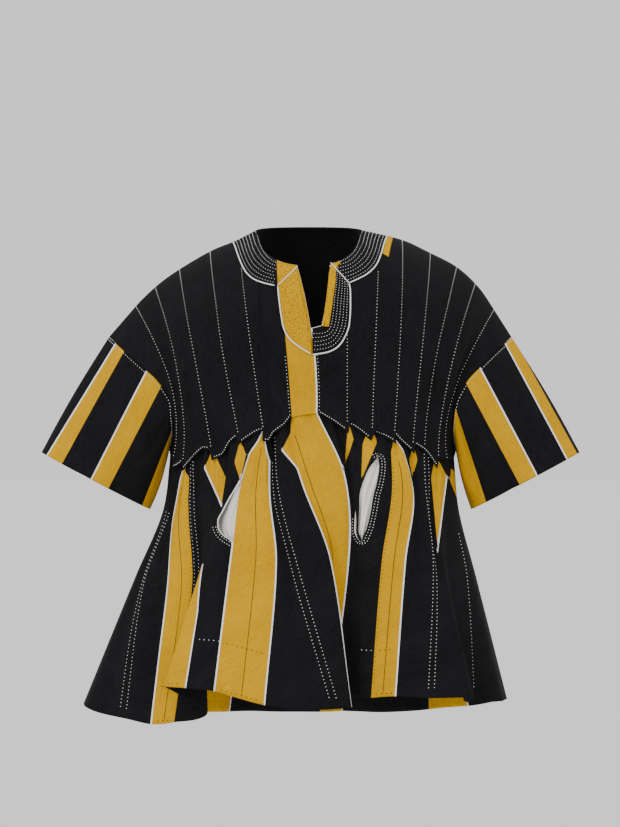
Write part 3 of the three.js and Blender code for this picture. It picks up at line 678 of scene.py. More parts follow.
def mesh_piece(name, grids, material, wall=CLOTH, closed=False):
    """One mesh of the grids, welded where they meet, with a wall's thickness inward."""
    vertices, faces, data, start = [], [], {"gold": [], "white": [], "cloth": []}, 0
    for grid in grids:
        points = grid["points"]
        rows, cols = points.shape[:2]
        vertices.append(points.reshape(-1, 3))
        index = start + np.arange(rows * cols).reshape(rows, cols)
        following = np.roll(index, -1, axis=1) if closed else index[:, 1:]
        current = index if closed else index[:, :-1]
        quads = np.stack([current[:-1], current[1:], following[1:], following[:-1]], axis=2)
        away = grid.get("away", points - axis_points(points))
        facing = np.cross(points[1:, 1:] - points[:-1, :-1], points[:-1, 1:] - points[1:, :-1])
        if np.sum(facing * away[:-1, :-1]) < 0:
            quads = quads[..., ::-1]
        faces.append(quads.reshape(-1, 4))
        data["cloth"].append(grid.get("cloth", cloth_places(points)).reshape(-1, 3))
        for key, bare in (("gold", -FAR), ("white", 0.0)):
            data[key].append(grid.get(key, np.full((rows, cols), bare)).ravel())
        start += rows * cols
    mesh = bpy.data.meshes.new(name)
    mesh.from_pydata((np.concatenate(vertices) * MM).tolist(), [], np.concatenate(faces).tolist())
    for key in ("gold", "white"):
        attribute = mesh.attributes.new(key, "FLOAT", "POINT")
        attribute.data.foreach_set("value", np.concatenate(data[key]).astype(np.float32))
    attribute = mesh.attributes.new("cloth", "FLOAT_VECTOR", "POINT")
    attribute.data.foreach_set("vector", np.concatenate(data["cloth"]).astype(np.float32).ravel())
    work = bmesh.new()
    work.from_mesh(mesh)
    bmesh.ops.remove_doubles(work, verts=work.verts, dist=WELD)
    bmesh.ops.dissolve_degenerate(work, edges=work.edges, dist=SLIVER)
    work.to_mesh(mesh)
    work.free()
    piece = placed(name, mesh, material)
    shell = piece.modifiers.new("Wall", "SOLIDIFY")
    shell.thickness = wall * MM
    shell.offset = -1
    return piece


CROSSWISE = [0.31, 0.17, 0.93]    # a direction that no thread runs along


def tube(name, paths, radius, material, sides=6):
    """Thin round cords along the paths, joined in one mesh."""
    vertices, faces = [], []
    for path in paths:
        path = np.asarray(path, float)
        along = unit(np.gradient(path, axis=0), TINY)
        up = unit(np.cross(along, CROSSWISE), TINY)
        side = np.cross(along, up)
        start = len(vertices)
        for k, (p, a, b) in enumerate(zip(path, up, side)):
            size = radius * (0.4 if k in (0, len(path) - 1) else 1)
            for i in range(sides):
                angle = 2 * math.pi * i / sides
                vertices.append(p + size * (a * math.cos(angle) + b * math.sin(angle)))
        for k in range(len(path) - 1):
            for i in range(sides):
                j = (i + 1) % sides
                base = start + k * sides
                faces.append((base + i, base + j, base + sides + j, base + sides + i))
        faces.append(tuple(start + i for i in range(sides))[::-1])
        faces.append(tuple(start + (len(path) - 1) * sides + i for i in range(sides)))
    return thread_piece(name, vertices, faces, material)


SPINDLE_FACES = [(0, 1, 2), (0, 2, 3), (0, 3, 4), (0, 4, 1), (5, 2, 1), (5, 3, 2), (5, 4, 3), (5, 1, 4)]


def stitches(name, runs, material, width=0.95, height=0.7):
    """Running stitches: each run has its points, their normals, a pitch and a stitch length."""
    vertices, faces = [], []
    for points, normals, pitch, length in runs:
        along = gone_along(points)
        for start in np.arange(pitch / 2, along[-1] - length, pitch):
            ends = [np.array(sampled(start + step, along, points)) for step in (0, length)]
            normal = np.array(sampled(start, along, normals))
            direction = (ends[1] - ends[0]) / length
            side = np.cross(direction, normal)
            middle = (ends[0] + ends[1]) / 2
            base = len(vertices)
            vertices += [
                ends[0], middle + side * width, middle + normal * height * 1.6,
                middle - side * width, middle - normal * height, ends[1],
            ]
            faces += [tuple(base + i for i in face) for face in SPINDLE_FACES]
    return thread_piece(name, vertices, faces, material)


# Materials

class Nodes:
    """Adds and links shader nodes of one material."""

    def __init__(self, name):
        self.material = bpy.data.materials.new(name)
        self.material.use_nodes = True
        self.tree = self.material.node_tree
        self.shader = self.tree.nodes["Principled BSDF"]

    def add(self, kind, **values):
        node = self.tree.nodes.new("ShaderNode" + kind)
        for key, value in values.items():
            setattr(node, key, value)
        return node

    def link(self, source, target):
        self.tree.links.new(source, target)

    def math(self, operation, a, b=0.0):
        node = self.add("Math", operation=operation)
        for socket, value in zip(node.inputs, (a, b)):
            if isinstance(value, (int, float)):
                socket.default_value = value
            else:
                self.link(value, socket)
        return node.outputs[0]

    def blend(self, factor, a, b):
        node = self.add("Mix", data_type="RGBA")
        colours = [s for s in node.inputs if s.type == "RGBA"]
        self.link(factor, node.inputs[0])
        for socket, value in zip(colours, (a, b)):
            if isinstance(value, tuple):
                socket.default_value = (*value, 1)
            else:
                self.link(value, socket)
        return [s for s in node.outputs if s.type == "RGBA"][0]

    def attribute(self, name):
        return self.add("Attribute", attribute_name=name)

    def noise(self, vector, scale, stretch=(1, 1, 1), detail=3.0, offset=(0, 0, 0)):
        mapping = self.add("Mapping")
        mapping.inputs["Scale"].default_value = stretch
        mapping.inputs["Location"].default_value = offset
        self.link(vector, mapping.inputs["Vector"])
        node = self.add("TexNoise")
        node.inputs["Scale"].default_value = scale
        node.inputs["Detail"].default_value = detail
        self.link(mapping.outputs[0], node.inputs["Vector"])
        return node.outputs["Fac"]

    def spread(self, value, low, high, to_low=0.0, to_high=1.0):
        node = self.add("MapRange")
        limits = {"From Min": low, "From Max": high, "To Min": to_low, "To Max": to_high}
        for key, limit in limits.items():
            node.inputs[key].default_value = limit
        self.link(value, node.inputs["Value"])
        return node.outputs[0]

    def surface(self, colour, height, strength, distance, rough, specular):
        """Gives the shader its colour, and its relief and roughness from a height."""
        self.link(colour, self.shader.inputs["Base Color"])
        bump = self.add("Bump")
        bump.inputs["Strength"].default_value = strength
        bump.inputs["Distance"].default_value = distance
        self.link(height, bump.inputs["Height"])
        self.link(bump.outputs[0], self.shader.inputs["Normal"])
        self.link(self.spread(height, 0.3, 0.7, *rough), self.shader.inputs["Roughness"])
        self.shader.inputs["Specular IOR Level"].default_value = specular


BLACK_DARK, BLACK_PALE = (0.0045, 0.0045, 0.0052), (0.012, 0.012, 0.0135)
GOLD_DEEP, GOLD_BRIGHT = (0.52, 0.255, 0.0), (0.72, 0.395, 0.0)
GOLD_FLECK, GOLD_DOT = (0.30, 0.14, 0.004), (0.12, 0.06, 0.004)
WHITE_THREAD = (0.92, 0.91, 0.88)


def woven(name, striped=True, speckled=False, ground=None):
    """Handwoven strip cloth: ribs and slubs along the strip, with gold stripes by attribute."""
    nodes = Nodes(name)
    cloth = nodes.attribute("cloth").outputs["Vector"]
    slub = nodes.noise(cloth, 1.0, (0.55, 0.05, 1), 4.0)
    cross = nodes.noise(cloth, 1.0, (0.05, 0.8, 1), 3.0, (7, 3, 0))
    cloudy = nodes.noise(cloth, 1.0, (0.012, 0.012, 1), 2.0, (1, 9, 0))
    threads = nodes.math("ADD", nodes.math("MULTIPLY", slub, 0.6), nodes.math("MULTIPLY", cross, 0.4))
    tone = nodes.spread(nodes.math("ADD", nodes.math("MULTIPLY", threads, 0.75),
                                   nodes.math("MULTIPLY", cloudy, 0.25)), 0.36, 0.64)
    black = nodes.blend(tone, BLACK_DARK, BLACK_PALE)
    gold = nodes.blend(tone, GOLD_DEEP, GOLD_BRIGHT)
    fleck = nodes.spread(nodes.noise(cloth, 1.0, (0.35, 0.5, 1), 2.0, (3, 5, 0)), 0.69, 0.75)
    gold = nodes.blend(nodes.math("MULTIPLY", fleck, 0.35), gold, GOLD_FLECK)
    colour = gold if ground == "gold" else black
    if striped:
        inside = nodes.attribute("gold").outputs["Fac"]
        wave = nodes.spread(nodes.noise(cloth, 1.0, (0.2, 0.5, 1), 2.0), 0, 1, -0.5, 0.5)
        wavy = nodes.math("ADD", inside, wave)
        colour = nodes.blend(nodes.spread(wavy, -0.2, 0.2), black, gold)
        beside = nodes.math("ABSOLUTE", nodes.math("SUBTRACT", wavy, -0.9))
        white = nodes.attribute("white").outputs["Fac"]
        line = nodes.math("MULTIPLY", nodes.spread(beside, 1.3, 0.95), white)
        colour = nodes.blend(line, colour, WHITE_THREAD)
    if speckled:
        dots = nodes.spread(nodes.noise(cloth, 1.0, (0.42, 0.42, 1), 1.0, (2, 8, 0)), 0.58, 0.64)
        colour = nodes.blend(nodes.math("MULTIPLY", dots, 0.75), colour, GOLD_DOT)
    nodes.surface(colour, threads, 0.55, 0.0009, (0.92, 0.8), 0.08)
    nodes.shader.inputs["Sheen Weight"].default_value = 0.01
    nodes.shader.inputs["Sheen Roughness"].default_value = 0.5
    return nodes.material


def plain(name, deep, pale, scale, vector="cloth"):
    """Cloth or thread of one colour, with a fine grain."""
    nodes = Nodes(name)
    if vector == "cloth":
        place = nodes.attribute("cloth").outputs["Vector"]
    else:
        place = nodes.add("TexCoord").outputs["Object"]
    grain = nodes.noise(place, scale, (1, 1, 1), 4.0)
    colour = nodes.blend(nodes.spread(grain, 0.35, 0.65), deep, pale)
    nodes.surface(colour, grain, 0.3, 0.0005, (0.85, 0.85 - 0.08), 0.25)
    return nodes.material


striped_cloth = woven("StripedCloth")
band_cloth = woven("BandCloth", striped=False)
gold_cloth = woven("GoldCloth", striped=False, ground="gold")
gold_embroidery = woven("GoldEmbroidery", striped=False, ground="gold", speckled=True)
pocket_cloth = plain("PocketCloth", (0.84, 0.81, 0.72), (0.95, 0.93, 0.86), 0.5)
white_thread = plain("WhiteThread", (0.84, 0.83, 0.80), (0.95, 0.94, 0.92), 900.0, vector="object")
dark_thread = plain("DarkThread", (0.010, 0.009, 0.008), (0.03, 0.028, 0.024), 900.0, vector="object")


# Surfaces of the smock

NECK_EXTRA = [0.01, 0.03, 0.07, 0.12, 0.25]
u = np.arange(0, LAST + 1e-6, 1 / COLUMN_STEPS)
NECK_LEFT, NECK_RIGHT = number("left_neck_side"), number("bell_seam_front")
beside_neck = [[NECK_LEFT - extra for extra in NECK_EXTRA], [NECK_RIGHT + extra for extra in NECK_EXTRA]]
u = np.unique(np.round(np.concatenate([u, *beside_neck]), 5))
front = front_lines(u)
back = back_lines(front, u)
v = np.arange(len(back["top"])) * LAST / (len(back["top"]) - 1)
skirt_t = np.linspace(0, 1, SKIRT_ROWS)
bodice_t = np.linspace(0, 1, BODICE_SAMPLES) ** BODICE_SPACING


def scallop_depths():
    depth = np.zeros(len(u))
    for row in SCALLOPS:
        low, high = number(row["low"]), number(row["high"])
        share = (u - high) / (low - high)
        within = (share > NEAR) & (share <= 1 + NEAR)
        depth = np.where(within, np.maximum(depth, LIP * np.clip(share, 0, 1) ** 1.2), depth)
    return depth


base_skirt = skirt_points(front, skirt_t, FRONT)
stripes = [dict(row, first=number(row["first"]), last=number(row["last"])) for row in SKIRT_STRIPES]
skirt_gold, skirt_white = stripes_across(base_skirt, u, skirt_t, stripes)


def with_wedges(points, gold, white):
    for wedge in WEDGES:
        sides_in = inside_of(points, corners_of(wedge, "tip", "left", "foot", "right"))
        inside = np.minimum.reduce(sides_in)
        nearer = (inside > gold) & (inside > -FAR)
        gold = np.where(nearer, inside, gold)
        beside = (wedge["whiteRight"] * (sides_in[2] <= inside + 0.01)
                  + wedge["whiteLeft"] * (sides_in[1] <= inside + 0.01))
        white = np.where(nearer, beside, white)
    return gold, white


skirt_front = creased(base_skirt, u, skirt_t, CREASES["skirt_front"] + gathers(11, 44))
skirt_normals = normals_of(base_skirt)

base_back = skirt_points(back, skirt_t, BACK)
skirt_back = creased(base_back, v, skirt_t, CREASES["skirt_back"] + gathers(12, 40))
back_stripes = []
for row in BACK_STRIPES:
    places = np.interp([-row["last"], -row["first"]], -back["waist"], v)
    back_stripes.append({"first": places[0], "last": places[1], "tipFirst": places.mean(), "start": 0,
                         "tipLast": places.mean(), "full": 0.07, "whiteFrom": 0,
                         "whiteRight": 1, "whiteLeft": 0})
back_gold, back_white = stripes_across(base_back, v, skirt_t, back_stripes)


def slit_shift(pocket, z, side):
    rows = SLIT_EDGES[pocket["name"]]
    return curve(-column(rows, "z"), column(rows, side), -z)


def parted(points, columns_u, low, high):
    """Moves a stretch of the skirt aside where a pocket slit opens beside it."""
    points = points.copy()
    for pocket in POCKETS:
        line = number(pocket["line"])
        if high <= line:
            side, reach = "right", line - number(pocket["first"])
            share = np.clip((columns_u - line + reach) / reach, 0, 1)
        else:
            side, reach = "left", max(number(pocket["last"]) - line, 1)
            share = np.clip((line + reach - columns_u) / reach, 0, 1)
        shift = slit_shift(pocket, points[..., 2].ravel(), side).reshape(points.shape[:2])
        points[..., 0] += shift * share
    return points


def cut(points, gold, white, lines, shape):
    """Grids between the given lines, each shaped by its own side of the slits between them."""
    cloth = cloth_places(points)
    grids = []
    for low, high in zip(lines, lines[1:]):
        held = (u >= low - NEAR) & (u <= high + NEAR)
        grids.append({"points": shape(points[:, held], u[held], low, high), "held": held,
                      "gold": gold[:, held], "white": white[:, held], "cloth": cloth[:, held]})
    return grids


pocket_lines = [number(pocket["line"]) for pocket in POCKETS]
skirt_grids = cut(skirt_front, skirt_gold, skirt_white, [0, *pocket_lines, LAST], parted)
for grid in skirt_grids:
    grid["gold"], grid["white"] = with_wedges(grid["points"], grid["gold"], grid["white"])
skirt_grids.append({"points": skirt_back, "gold": back_gold, "white": back_white})

# Bodice: rows down to the waist seam, and then the lip of the scallops over the skirt's top
LIP_ROWS = 6


def lipped(points, skirt, skirt_out, seam, hem, depth):
    """The bodice's rows with the lip, which hangs outside the skirt's own points."""
    length = seam - hem
    reach = np.linspace(0, 1, LIP_ROWS + 1)[1:, None] * (depth[None] + LIP_OVER) / length[None]
    rows = []
    for row in reach:
        place = row * (len(skirt) - 1)
        low = np.floor(place).astype(int)
        f = (place - low)[:, None]
        every = np.arange(skirt.shape[1])
        at = mix(skirt[low, every], skirt[low + 1, every], f)
        rows.append(at + LIP_ROOM * skirt_out[low, every])
    near = np.clip((np.linspace(0, 1, len(points)) - LIP_START) / 0.14, 0, 1) ** 2
    lifted = points + LIP_ROOM * near[:, None, None] * skirt_out[0][None]
    return np.concatenate([lifted, np.array(rows)])


def slit_shape(points, columns_u, low, high):
    if low == 0:
        return points
    points = points.copy()
    z = points[..., 2]
    opened = (z - SLIT_FOOT) / (NECK_TOP - NECK_DIP - SLIT_FOOT)
    shift = np.where(z > SLIT_FOOT, mix(SLIT_FOOT_WIDTH, SLIT_WIDTH, opened), 0)
    points[..., 0] += shift * np.clip(low + 1 - columns_u, 0, 1)
    return points


side_hold_front = np.clip(np.minimum(u, LAST - u), 0, 1)[None, :, None]
side_hold_back = np.clip(np.minimum(v, LAST - v), 0, 1)[None, :, None]
base_bodice = bodice_points(front, bodice_t, FRONT)
bodice_front = creased(base_bodice, u, bodice_t, CREASES["bodice_front"])
bodice_front = lipped(bodice_front, base_skirt, skirt_normals * side_hold_front,
                      front["seam"], front["hemZ"], scallop_depths())
base_bodice_back = bodice_points(back, bodice_t, BACK)
bodice_back = creased(base_bodice_back, v, bodice_t, CREASES["bodice_back"])
BACK_SCALLOPS = 0.35              # scallops of the back to one line
BACK_SCALLOP_DEPTH = 1.2          # against half the front's
back_scallops = LIP * (0.5 - np.abs((v * BACK_SCALLOPS) % 1 - 0.5)) * BACK_SCALLOP_DEPTH
bodice_back = lipped(bodice_back, base_back, normals_of(base_back) * side_hold_back,
                     back["seam"], back["hemZ"], back_scallops)

centre = [{"first": number("centre_right"), "last": number("centre_left"), "tipFirst": 19, "tipLast": 20,
           "start": 0, "full": 1, "whiteFrom": 0, "whiteRight": 0, "whiteLeft": 1}]
bodice_v = np.linspace(1e-3, 1, len(bodice_front))
bodice_gold, bodice_white = stripes_across(bodice_front, u, bodice_v, centre)
slit_line = number("centre_left")
bodice_grids = cut(bodice_front, bodice_gold, bodice_white, [0, slit_line, LAST], slit_shape)
bodice_grids.append({"points": bodice_back})

bodice = mesh_piece("bodice_cloth", bodice_grids, striped_cloth)
JOIN_ROOM = 1.2                   # between the bodice's wall and the skirt's sewn-in top


def joined(grid, bodice_points_, held):
    """A skirt grid with one more row on top, which lies against the inside of the bodice."""
    row = len(bodice_t) - 2
    outward = (bodice_points_ - axis_points(bodice_points_))[row, held]
    top = bodice_points_[row, held] - (CLOTH + JOIN_ROOM) * unit(outward)
    kept = [key for key in ("gold", "white", "cloth") if key in grid]
    longer = {key: np.concatenate([grid[key][:1], grid[key]]) for key in kept}
    longer["points"] = np.concatenate([top[None], grid["points"]])
    return longer


joined_grids = [joined(grid, bodice_front, grid["held"]) for grid in skirt_grids[:-1]]
joined_grids.append(joined(skirt_grids[-1], bodice_back, np.full(len(v), True)))
skirt = mesh_piece("skirt_cloth", joined_grids, striped_cloth)

# Sleeves
SLEEVE_ROWS = 60
SLEEVE_COLUMNS = 132
LOOP = 12
SLEEVE_BULGE = 3.0
EDGE_ON = 0.45                    # cloth turned further than this to the side has no white line
UNDERARM_REACH = 0.8              # part of the loop on either side of the underarm, in rows
UNDERARM_ROOM = 6                 # where the stripe there closes a gap as wide as this
UNDERARM_GOLD = 2                 # distance inside the stripe that the closed gap is given


def sleeve_grid(hand):
    a = np.arange(SLEEVE_COLUMNS) * LOOP / SLEEVE_COLUMNS
    half = LOOP // 2
    t_at = np.interp(np.where(a <= half, a, LOOP - a), np.arange(half + 1), BODICE_ROWS[:half + 1])
    start = np.where((a <= half)[:, None], armhole_curve(hand, t_at, FRONT),
                     armhole_curve(hand, t_at, BACK))
    turn = math.pi * a / half
    length = math.hypot(*CUFF_AXIS)
    along = -np.cos(turn) * CUFF_HALF / length
    cuff = np.stack([
        hand * (CUFF_OUT[hand] - along * CUFF_AXIS[0]),
        -np.sin(turn) * CUFF_DEPTH,
        CUFF_HEIGHT + along * CUFF_AXIS[1],
    ], axis=1)
    s = np.linspace(0.004, 1, SLEEVE_ROWS)
    points = mix(start[None], cuff[None], s[:, None, None])
    middle = points.mean(axis=1, keepdims=True)
    across = lengths_across(points)
    outward = normals_of(points, middle)
    push = SLEEVE_BULGE * np.sin(math.pi * s)[:, None] * np.ones_like(across)
    for crease in CREASES["sleeve"]:
        share = (s - crease["start"]) / (crease["end"] - crease["start"])
        strength = fade(share, crease["start"] < 0, crease["end"] > 1)
        place = crease["at"] + crease["drift"] * np.clip(share, 0, 1) * hand
        away = (across - places_across(place, a, across)) / crease["width"]
        push -= crease["depth"] * (strength * np.clip(s * 6, 0, 1))[:, None] * np.exp(-away**2)
    points = points + outward * push[..., None]
    gold = np.full(points.shape[:2], -FAR)
    white = np.zeros(points.shape[:2])
    for row in [row for row in SLEEVE_STRIPES if row["hand"] == hand]:
        _, inner, _, outer = inside_of(points, corners_of(row, "topOut", "topIn", "hemIn", "hemOut"))
        inside = np.minimum(inner, outer)
        edge = np.where(np.abs(outer) < np.abs(inner), row["whiteOut"], row["whiteIn"])
        nearer = inside > gold
        gold = np.where(nearer, inside, gold)
        white = np.where(nearer, edge, white)
    white = np.where(np.abs(outward[..., 1]) > EDGE_ON, white, 0)
    underarm = (np.abs(a - half) < UNDERARM_REACH)[None] & (gold > -UNDERARM_ROOM)
    gold = np.where(underarm, np.maximum(gold, UNDERARM_GOLD), gold)
    cloth = np.stack([across, lengths_down(points), 0 * across], axis=2)
    return {"points": points, "gold": gold, "white": white, "cloth": cloth, "away": outward}


sleeves = {}
for hand, name in ((-1, "sleeve_right"), (1, "sleeve_left")):
    grid = sleeve_grid(hand)
    piece = mesh_piece(name + "_cloth", [grid], striped_cloth, closed=True)
    sleeves[name] = (piece, grid["points"], grid["away"])


# Places on the finished bodice

def tree_of(grids):
    vertices, faces, start = [], [], 0
    for grid in grids:
        rows, cols = grid["points"].shape[:2]
        index = start + np.arange(rows * cols).reshape(rows, cols)
        vertices.append(grid["points"].reshape(-1, 3))
        quads = [index[:-1, :-1], index[1:, :-1], index[1:, 1:], index[:-1, 1:]]
        faces.append(np.stack(quads, axis=2).reshape(-1, 4))
        start += rows * cols
    return BVHTree.FromPolygons(np.concatenate(vertices).tolist(), np.concatenate(faces).tolist())


bodice_tree = tree_of(bodice_grids)
skirt_tree = tree_of(skirt_grids[:-1])
HIGH = 400


def from_above(x, y):
    hit = bodice_tree.ray_cast(Vector((x, y, HIGH)), Vector((0, 0, -1)))
    return (np.array(hit[0]), np.array(hit[1])) if hit[0] else (None, None)


def from_front(tree, x, z):
    hit = tree.ray_cast(Vector((x, -HIGH, z)), Vector((0, 1, 0)))
    if not hit[0]:
        return None, None
    normal = np.array(hit[1])
    return np.array(hit[0]), normal if normal[1] < 0 else -normal


NUDGES = (0, 1, 2, 3, 4, 5, 6, 8, 10)


def on_front(x, z):
    """The bodice's front at a place, or at the nearest cloth where the place is over an edge."""
    for step in NUDGES:
        for aside, down in ((0, 0), (0, -step), (step, 0), (-step, 0), (step, -step)):
            point, normal = from_front(bodice_tree, x + aside, z + down)
            if point is not None and point[1] < 0:
                return np.array([x, point[1], z]), normal
    raise ValueError(f"no cloth near {x}, {z}")


BAND_COLUMNS = 150
NECK_PLANS = (0.4, 70, 1.0)       # nearest and furthest place out from the neck edge, and the step


def neck_rays():
    """For places round the neck edge: how far out each step over the cloth lies."""
    rays = []
    turns = np.linspace(0.02, 2 * math.pi - 0.02, BAND_COLUMNS)
    for turn in turns:
        x = NECK_HALF * math.sin(turn) * 0.999
        side = FRONT if math.cos(turn) > 0 else BACK
        edge = top_points(np.array([x]), side)[0]
        reach = NECK_FRONT if side == FRONT else NECK_BACK
        away = np.array([x / NECK_HALF, side * abs(math.cos(turn)) * NECK_HALF / reach])
        away /= np.linalg.norm(away)
        points, normals = [], []
        for plan in np.arange(*NECK_PLANS):
            point, normal = from_above(edge[0] + away[0] * plan, edge[1] + away[1] * plan)
            if point is not None:
                points.append(point)
                normals.append(normal if normal[2] > 0 else -normal)
        points, normals = np.array(points), np.array(normals)
        rays.append((x, side, gone_along(points), points, normals))
    return rays


neck = neck_rays()


OVER_SHOULDER = 83                # further out than this the band is measured over the shoulder


def band_points(distance):
    """The band's points and normals at a distance from the neck edge, round the back."""
    found = []
    for x, side, gone, points, normals in neck:
        if side == BACK or abs(x) > OVER_SHOULDER:
            normal = np.array(sampled(distance, gone, normals))
            found.append((np.array(sampled(distance, gone, points)), normal / np.linalg.norm(normal)))
    return np.array([p for p, n in found]), np.array([n for p, n in found])


def smoothed(rows, times=3):
    for _ in range(times):
        rows = np.concatenate([rows[:1], (rows[:-2] + 2 * rows[1:-1] + rows[2:]) / 4, rows[-1:]])
    return rows


def resampled(rows, count):
    gone = gone_along(rows[:, :3])
    return np.stack(sampled(np.linspace(0, gone[-1], count), gone, rows), axis=1)


EDGES = "innerX innerZ outerX outerZ"


def run_between(rows, share, steps):
    """Places in X and Z on a smooth curve, at a share of the way between a table's two edges."""
    marks = np.arange(len(rows))
    fine = np.linspace(0, len(rows) - 1, steps)
    edge = {name: curve(marks, column(rows, name), fine) for name in EDGES.split()}
    xs, zs = (mix(edge["inner" + axis], edge["outer" + axis], share) for axis in "XZ")
    return zip(xs, zs)


# Front parts of the neck band, from their mitred ends up to the shoulders: X and Z of the neck
# edge and of the band's outer edge. The one on the wearer's right ends under the gold strip.
BAND_LEFT = table(EDGES, [
    (33, -39, 63, -74),
    (46, -38, 77, -68),
    (58, -33, 90, -61),
    (71, -21, 107, -44),
    (79, -7, 116, -22),
])
BAND_RIGHT = table(EDGES, [
    (-40, -44, -38, -80),
    (-52, -39, -54, -78),
    (-60, -34, -81, -71),
    (-71, -22, -99, -57),
    (-79, -7, -113, -28),
])
RING_STEPS = 15
RING_COLUMNS = 220


def front_part(rows, share, steps):
    found = []
    for x, z in run_between(rows, share, steps):
        point, normal = from_front(bodice_tree, x, z)
        if point is not None and point[1] < 0:
            found.append(np.concatenate([point, normal]))
    return np.array(found)


def ring_grid():
    rows, outs = [], []
    for share in np.linspace(0.012, 1, RING_STEPS):
        over = np.concatenate(band_points(share * NECK_BAND_WIDTH), axis=1)
        row = np.concatenate([front_part(BAND_LEFT, share, 40), over,
                              front_part(BAND_RIGHT, share, 40)[::-1]])
        row = smoothed(resampled(smoothed(row, 2), RING_COLUMNS), 6)
        rows.append(row[:, :3])
        outs.append(unit(row[:, 3:]))
    return np.array(rows), np.array(outs)


ring, ring_out = ring_grid()
BAND_LIFT = 1.6
band_ring = mesh_piece("neck_band_cloth", [{"points": ring + BAND_LIFT * ring_out, "away": ring_out}],
                       band_cloth, wall=BAND)

NECK_STITCH = (4.4, 2.1)          # pitch and length of its stitches
BAND_ROWS = table("at kind", [
    (1.6, "dotted"),
    (7.2, "dotted"),
    (13.0, "dotted"),
    (18.8, "dotted"),
    (24.6, "dotted"),
    (30.4, "dotted"),
    (36.2, "dotted"),
    (41.4, "edge"),
])


BAND_END = -51                    # X of the gold strip's edge, where the ring's rows end


def ring_row(distance, lift):
    place = distance / NECK_BAND_WIDTH * (len(ring) - 1)
    low = min(int(place), len(ring) - 2)
    f = place - low
    points = mix(ring[low], ring[low + 1], f)
    normals = mix(ring_out[low], ring_out[low + 1], f)
    shown = (points[:, 1] > 0) | (points[:, 0] > 0) | (points[:, 0] < BAND_END)
    return (points + lift * normals)[shown], normals[shown]


THREAD_LIFT = 2.0
ring_runs = []
edge_paths = []
for row in BAND_ROWS:
    points, normals = ring_row(row["at"], THREAD_LIFT)
    if row["kind"] == "dotted":
        ring_runs.append((points, normals, *NECK_STITCH))
    else:
        edge_paths.append(points)

# Slit band: rows from its inner to its outer edge, on the wearer's left and right of the slit
SLIT_ROWS = table(EDGES, [
    (43, -51, 63, -74),
    (42, -66, 65, -88),
    (38, -98, 65, -110),
    (35, -126, 63, -138),
    (31, -143, 56, -158),
    (24, -149, 44, -174),
    (14, -150, 27, -182),
    (5, -150, 6, -185),
])
GOLD_ROWS = table(EDGES, [
    (-19, -47, -51, -40),
    (-18, -54, -50, -60),
    (-16, -66, -49, -79),
    (-11, -91, -46, -107),
    (-4, -121, -40, -143),
    (2, -144, -30, -161),
    (3, -160, -14, -174),
    (4, -176, 3, -184),
])
GOLD_MITRE = 2                    # row of the gold at which the U's outline starts


def front_rows(rows, shares, steps, lift):
    """Smooth runs between the two edges of a table, laid on the bodice's front."""
    lines, outs = [], []
    for share in shares:
        found = [on_front(x, z) for x, z in run_between(rows, share, steps)]
        lines.append(smoothed(np.array([p + lift * n for p, n in found]), 1))
        outs.append(np.array([n for p, n in found]))
    return lines, outs


def laid(name, rows, count, steps, lift, material, wall):
    """A piece laid on the bodice's front, of a number of runs between a table's two edges."""
    lines, outs = front_rows(rows, np.linspace(0, 1, count), steps, lift)
    return mesh_piece(name, [{"points": np.array(lines), "away": np.array(outs)}], material, wall=wall)


THIN = 0.6                        # wall of what is only thread or a strip's end
SLIT_STEPS, GOLD_STEPS, MITRE_STEPS = 60, 50, 24
GOLD_LIFT = 2.1
SLIT_THREAD_LIFT = 2.4
GOLD_THREAD_LIFT = 2.6
MITRE_LIFT = 2.9
EDGING_LIFT = 2.6
PATCH_LIFT = 0.8
slit_band = laid("slit_band_cloth", SLIT_ROWS, 9, SLIT_STEPS, BAND_LIFT, band_cloth, BAND)
gold_patch = laid("slit_embroidery", GOLD_ROWS, 9, GOLD_STEPS, GOLD_LIFT, gold_embroidery, THIN)
SLIT_SHARES = [0.08, 0.26, 0.44, 0.62, 0.8]
lines, outs = front_rows(SLIT_ROWS, SLIT_SHARES, SLIT_STEPS, SLIT_THREAD_LIFT)
for line, out in zip(lines, outs):
    ring_runs.append((line, out, *NECK_STITCH))
edge_paths += front_rows(SLIT_ROWS, [1.0], SLIT_STEPS, SLIT_THREAD_LIFT)[0]
edge_paths += front_rows(GOLD_ROWS[GOLD_MITRE:], [1.0], GOLD_STEPS, GOLD_THREAD_LIFT)[0]

# Mitre lines, where the ring and the U meet
MITRES = [
    table(EDGES, [(34, -42, 34, -42), (63, -74, 63, -74)]),
    table(EDGES, [(-18, -48, -18, -48), (-49, -78, -49, -78)]),
]
mitre_paths = []
for mitre in MITRES:
    mitre_paths += front_rows(mitre, [0.0], MITRE_STEPS, MITRE_LIFT)[0]

# Narrow gold edging along the slit
EDGING = table(EDGES, [
    (35, -43, 51, -39),
    (33, -51, 43, -52),
    (30, -75, 41, -76),
    (27, -98, 38, -99),
    (23, -124, 34, -125),
    (20, -141, 31, -142),
])
edging = laid("slit_edging_cloth", EDGING, 5, 40, EDGING_LIFT, gold_embroidery, BAND)

neck_stitches = stitches("neck_stitches", ring_runs, white_thread, width=0.7)
neck_threads = tube("neck_threads", mitre_paths, 0.8, white_thread)
neck_edge = tube("neck_edge_threads", edge_paths, 1.1, white_thread)

# Gold patch beside the band on the wearer's left shoulder
PATCH = table(EDGES, [
    (123, 6, 134, 3),
    (121, -8, 130, -12),
    (116, -24, 126, -30),
])
shoulder_patch = laid("shoulder_patch", PATCH, 5, 16, PATCH_LIFT, gold_cloth, THIN)


# Rows of stitches along the strips

STITCH_LIFT = 0.25                # how far stitches stand off the cloth


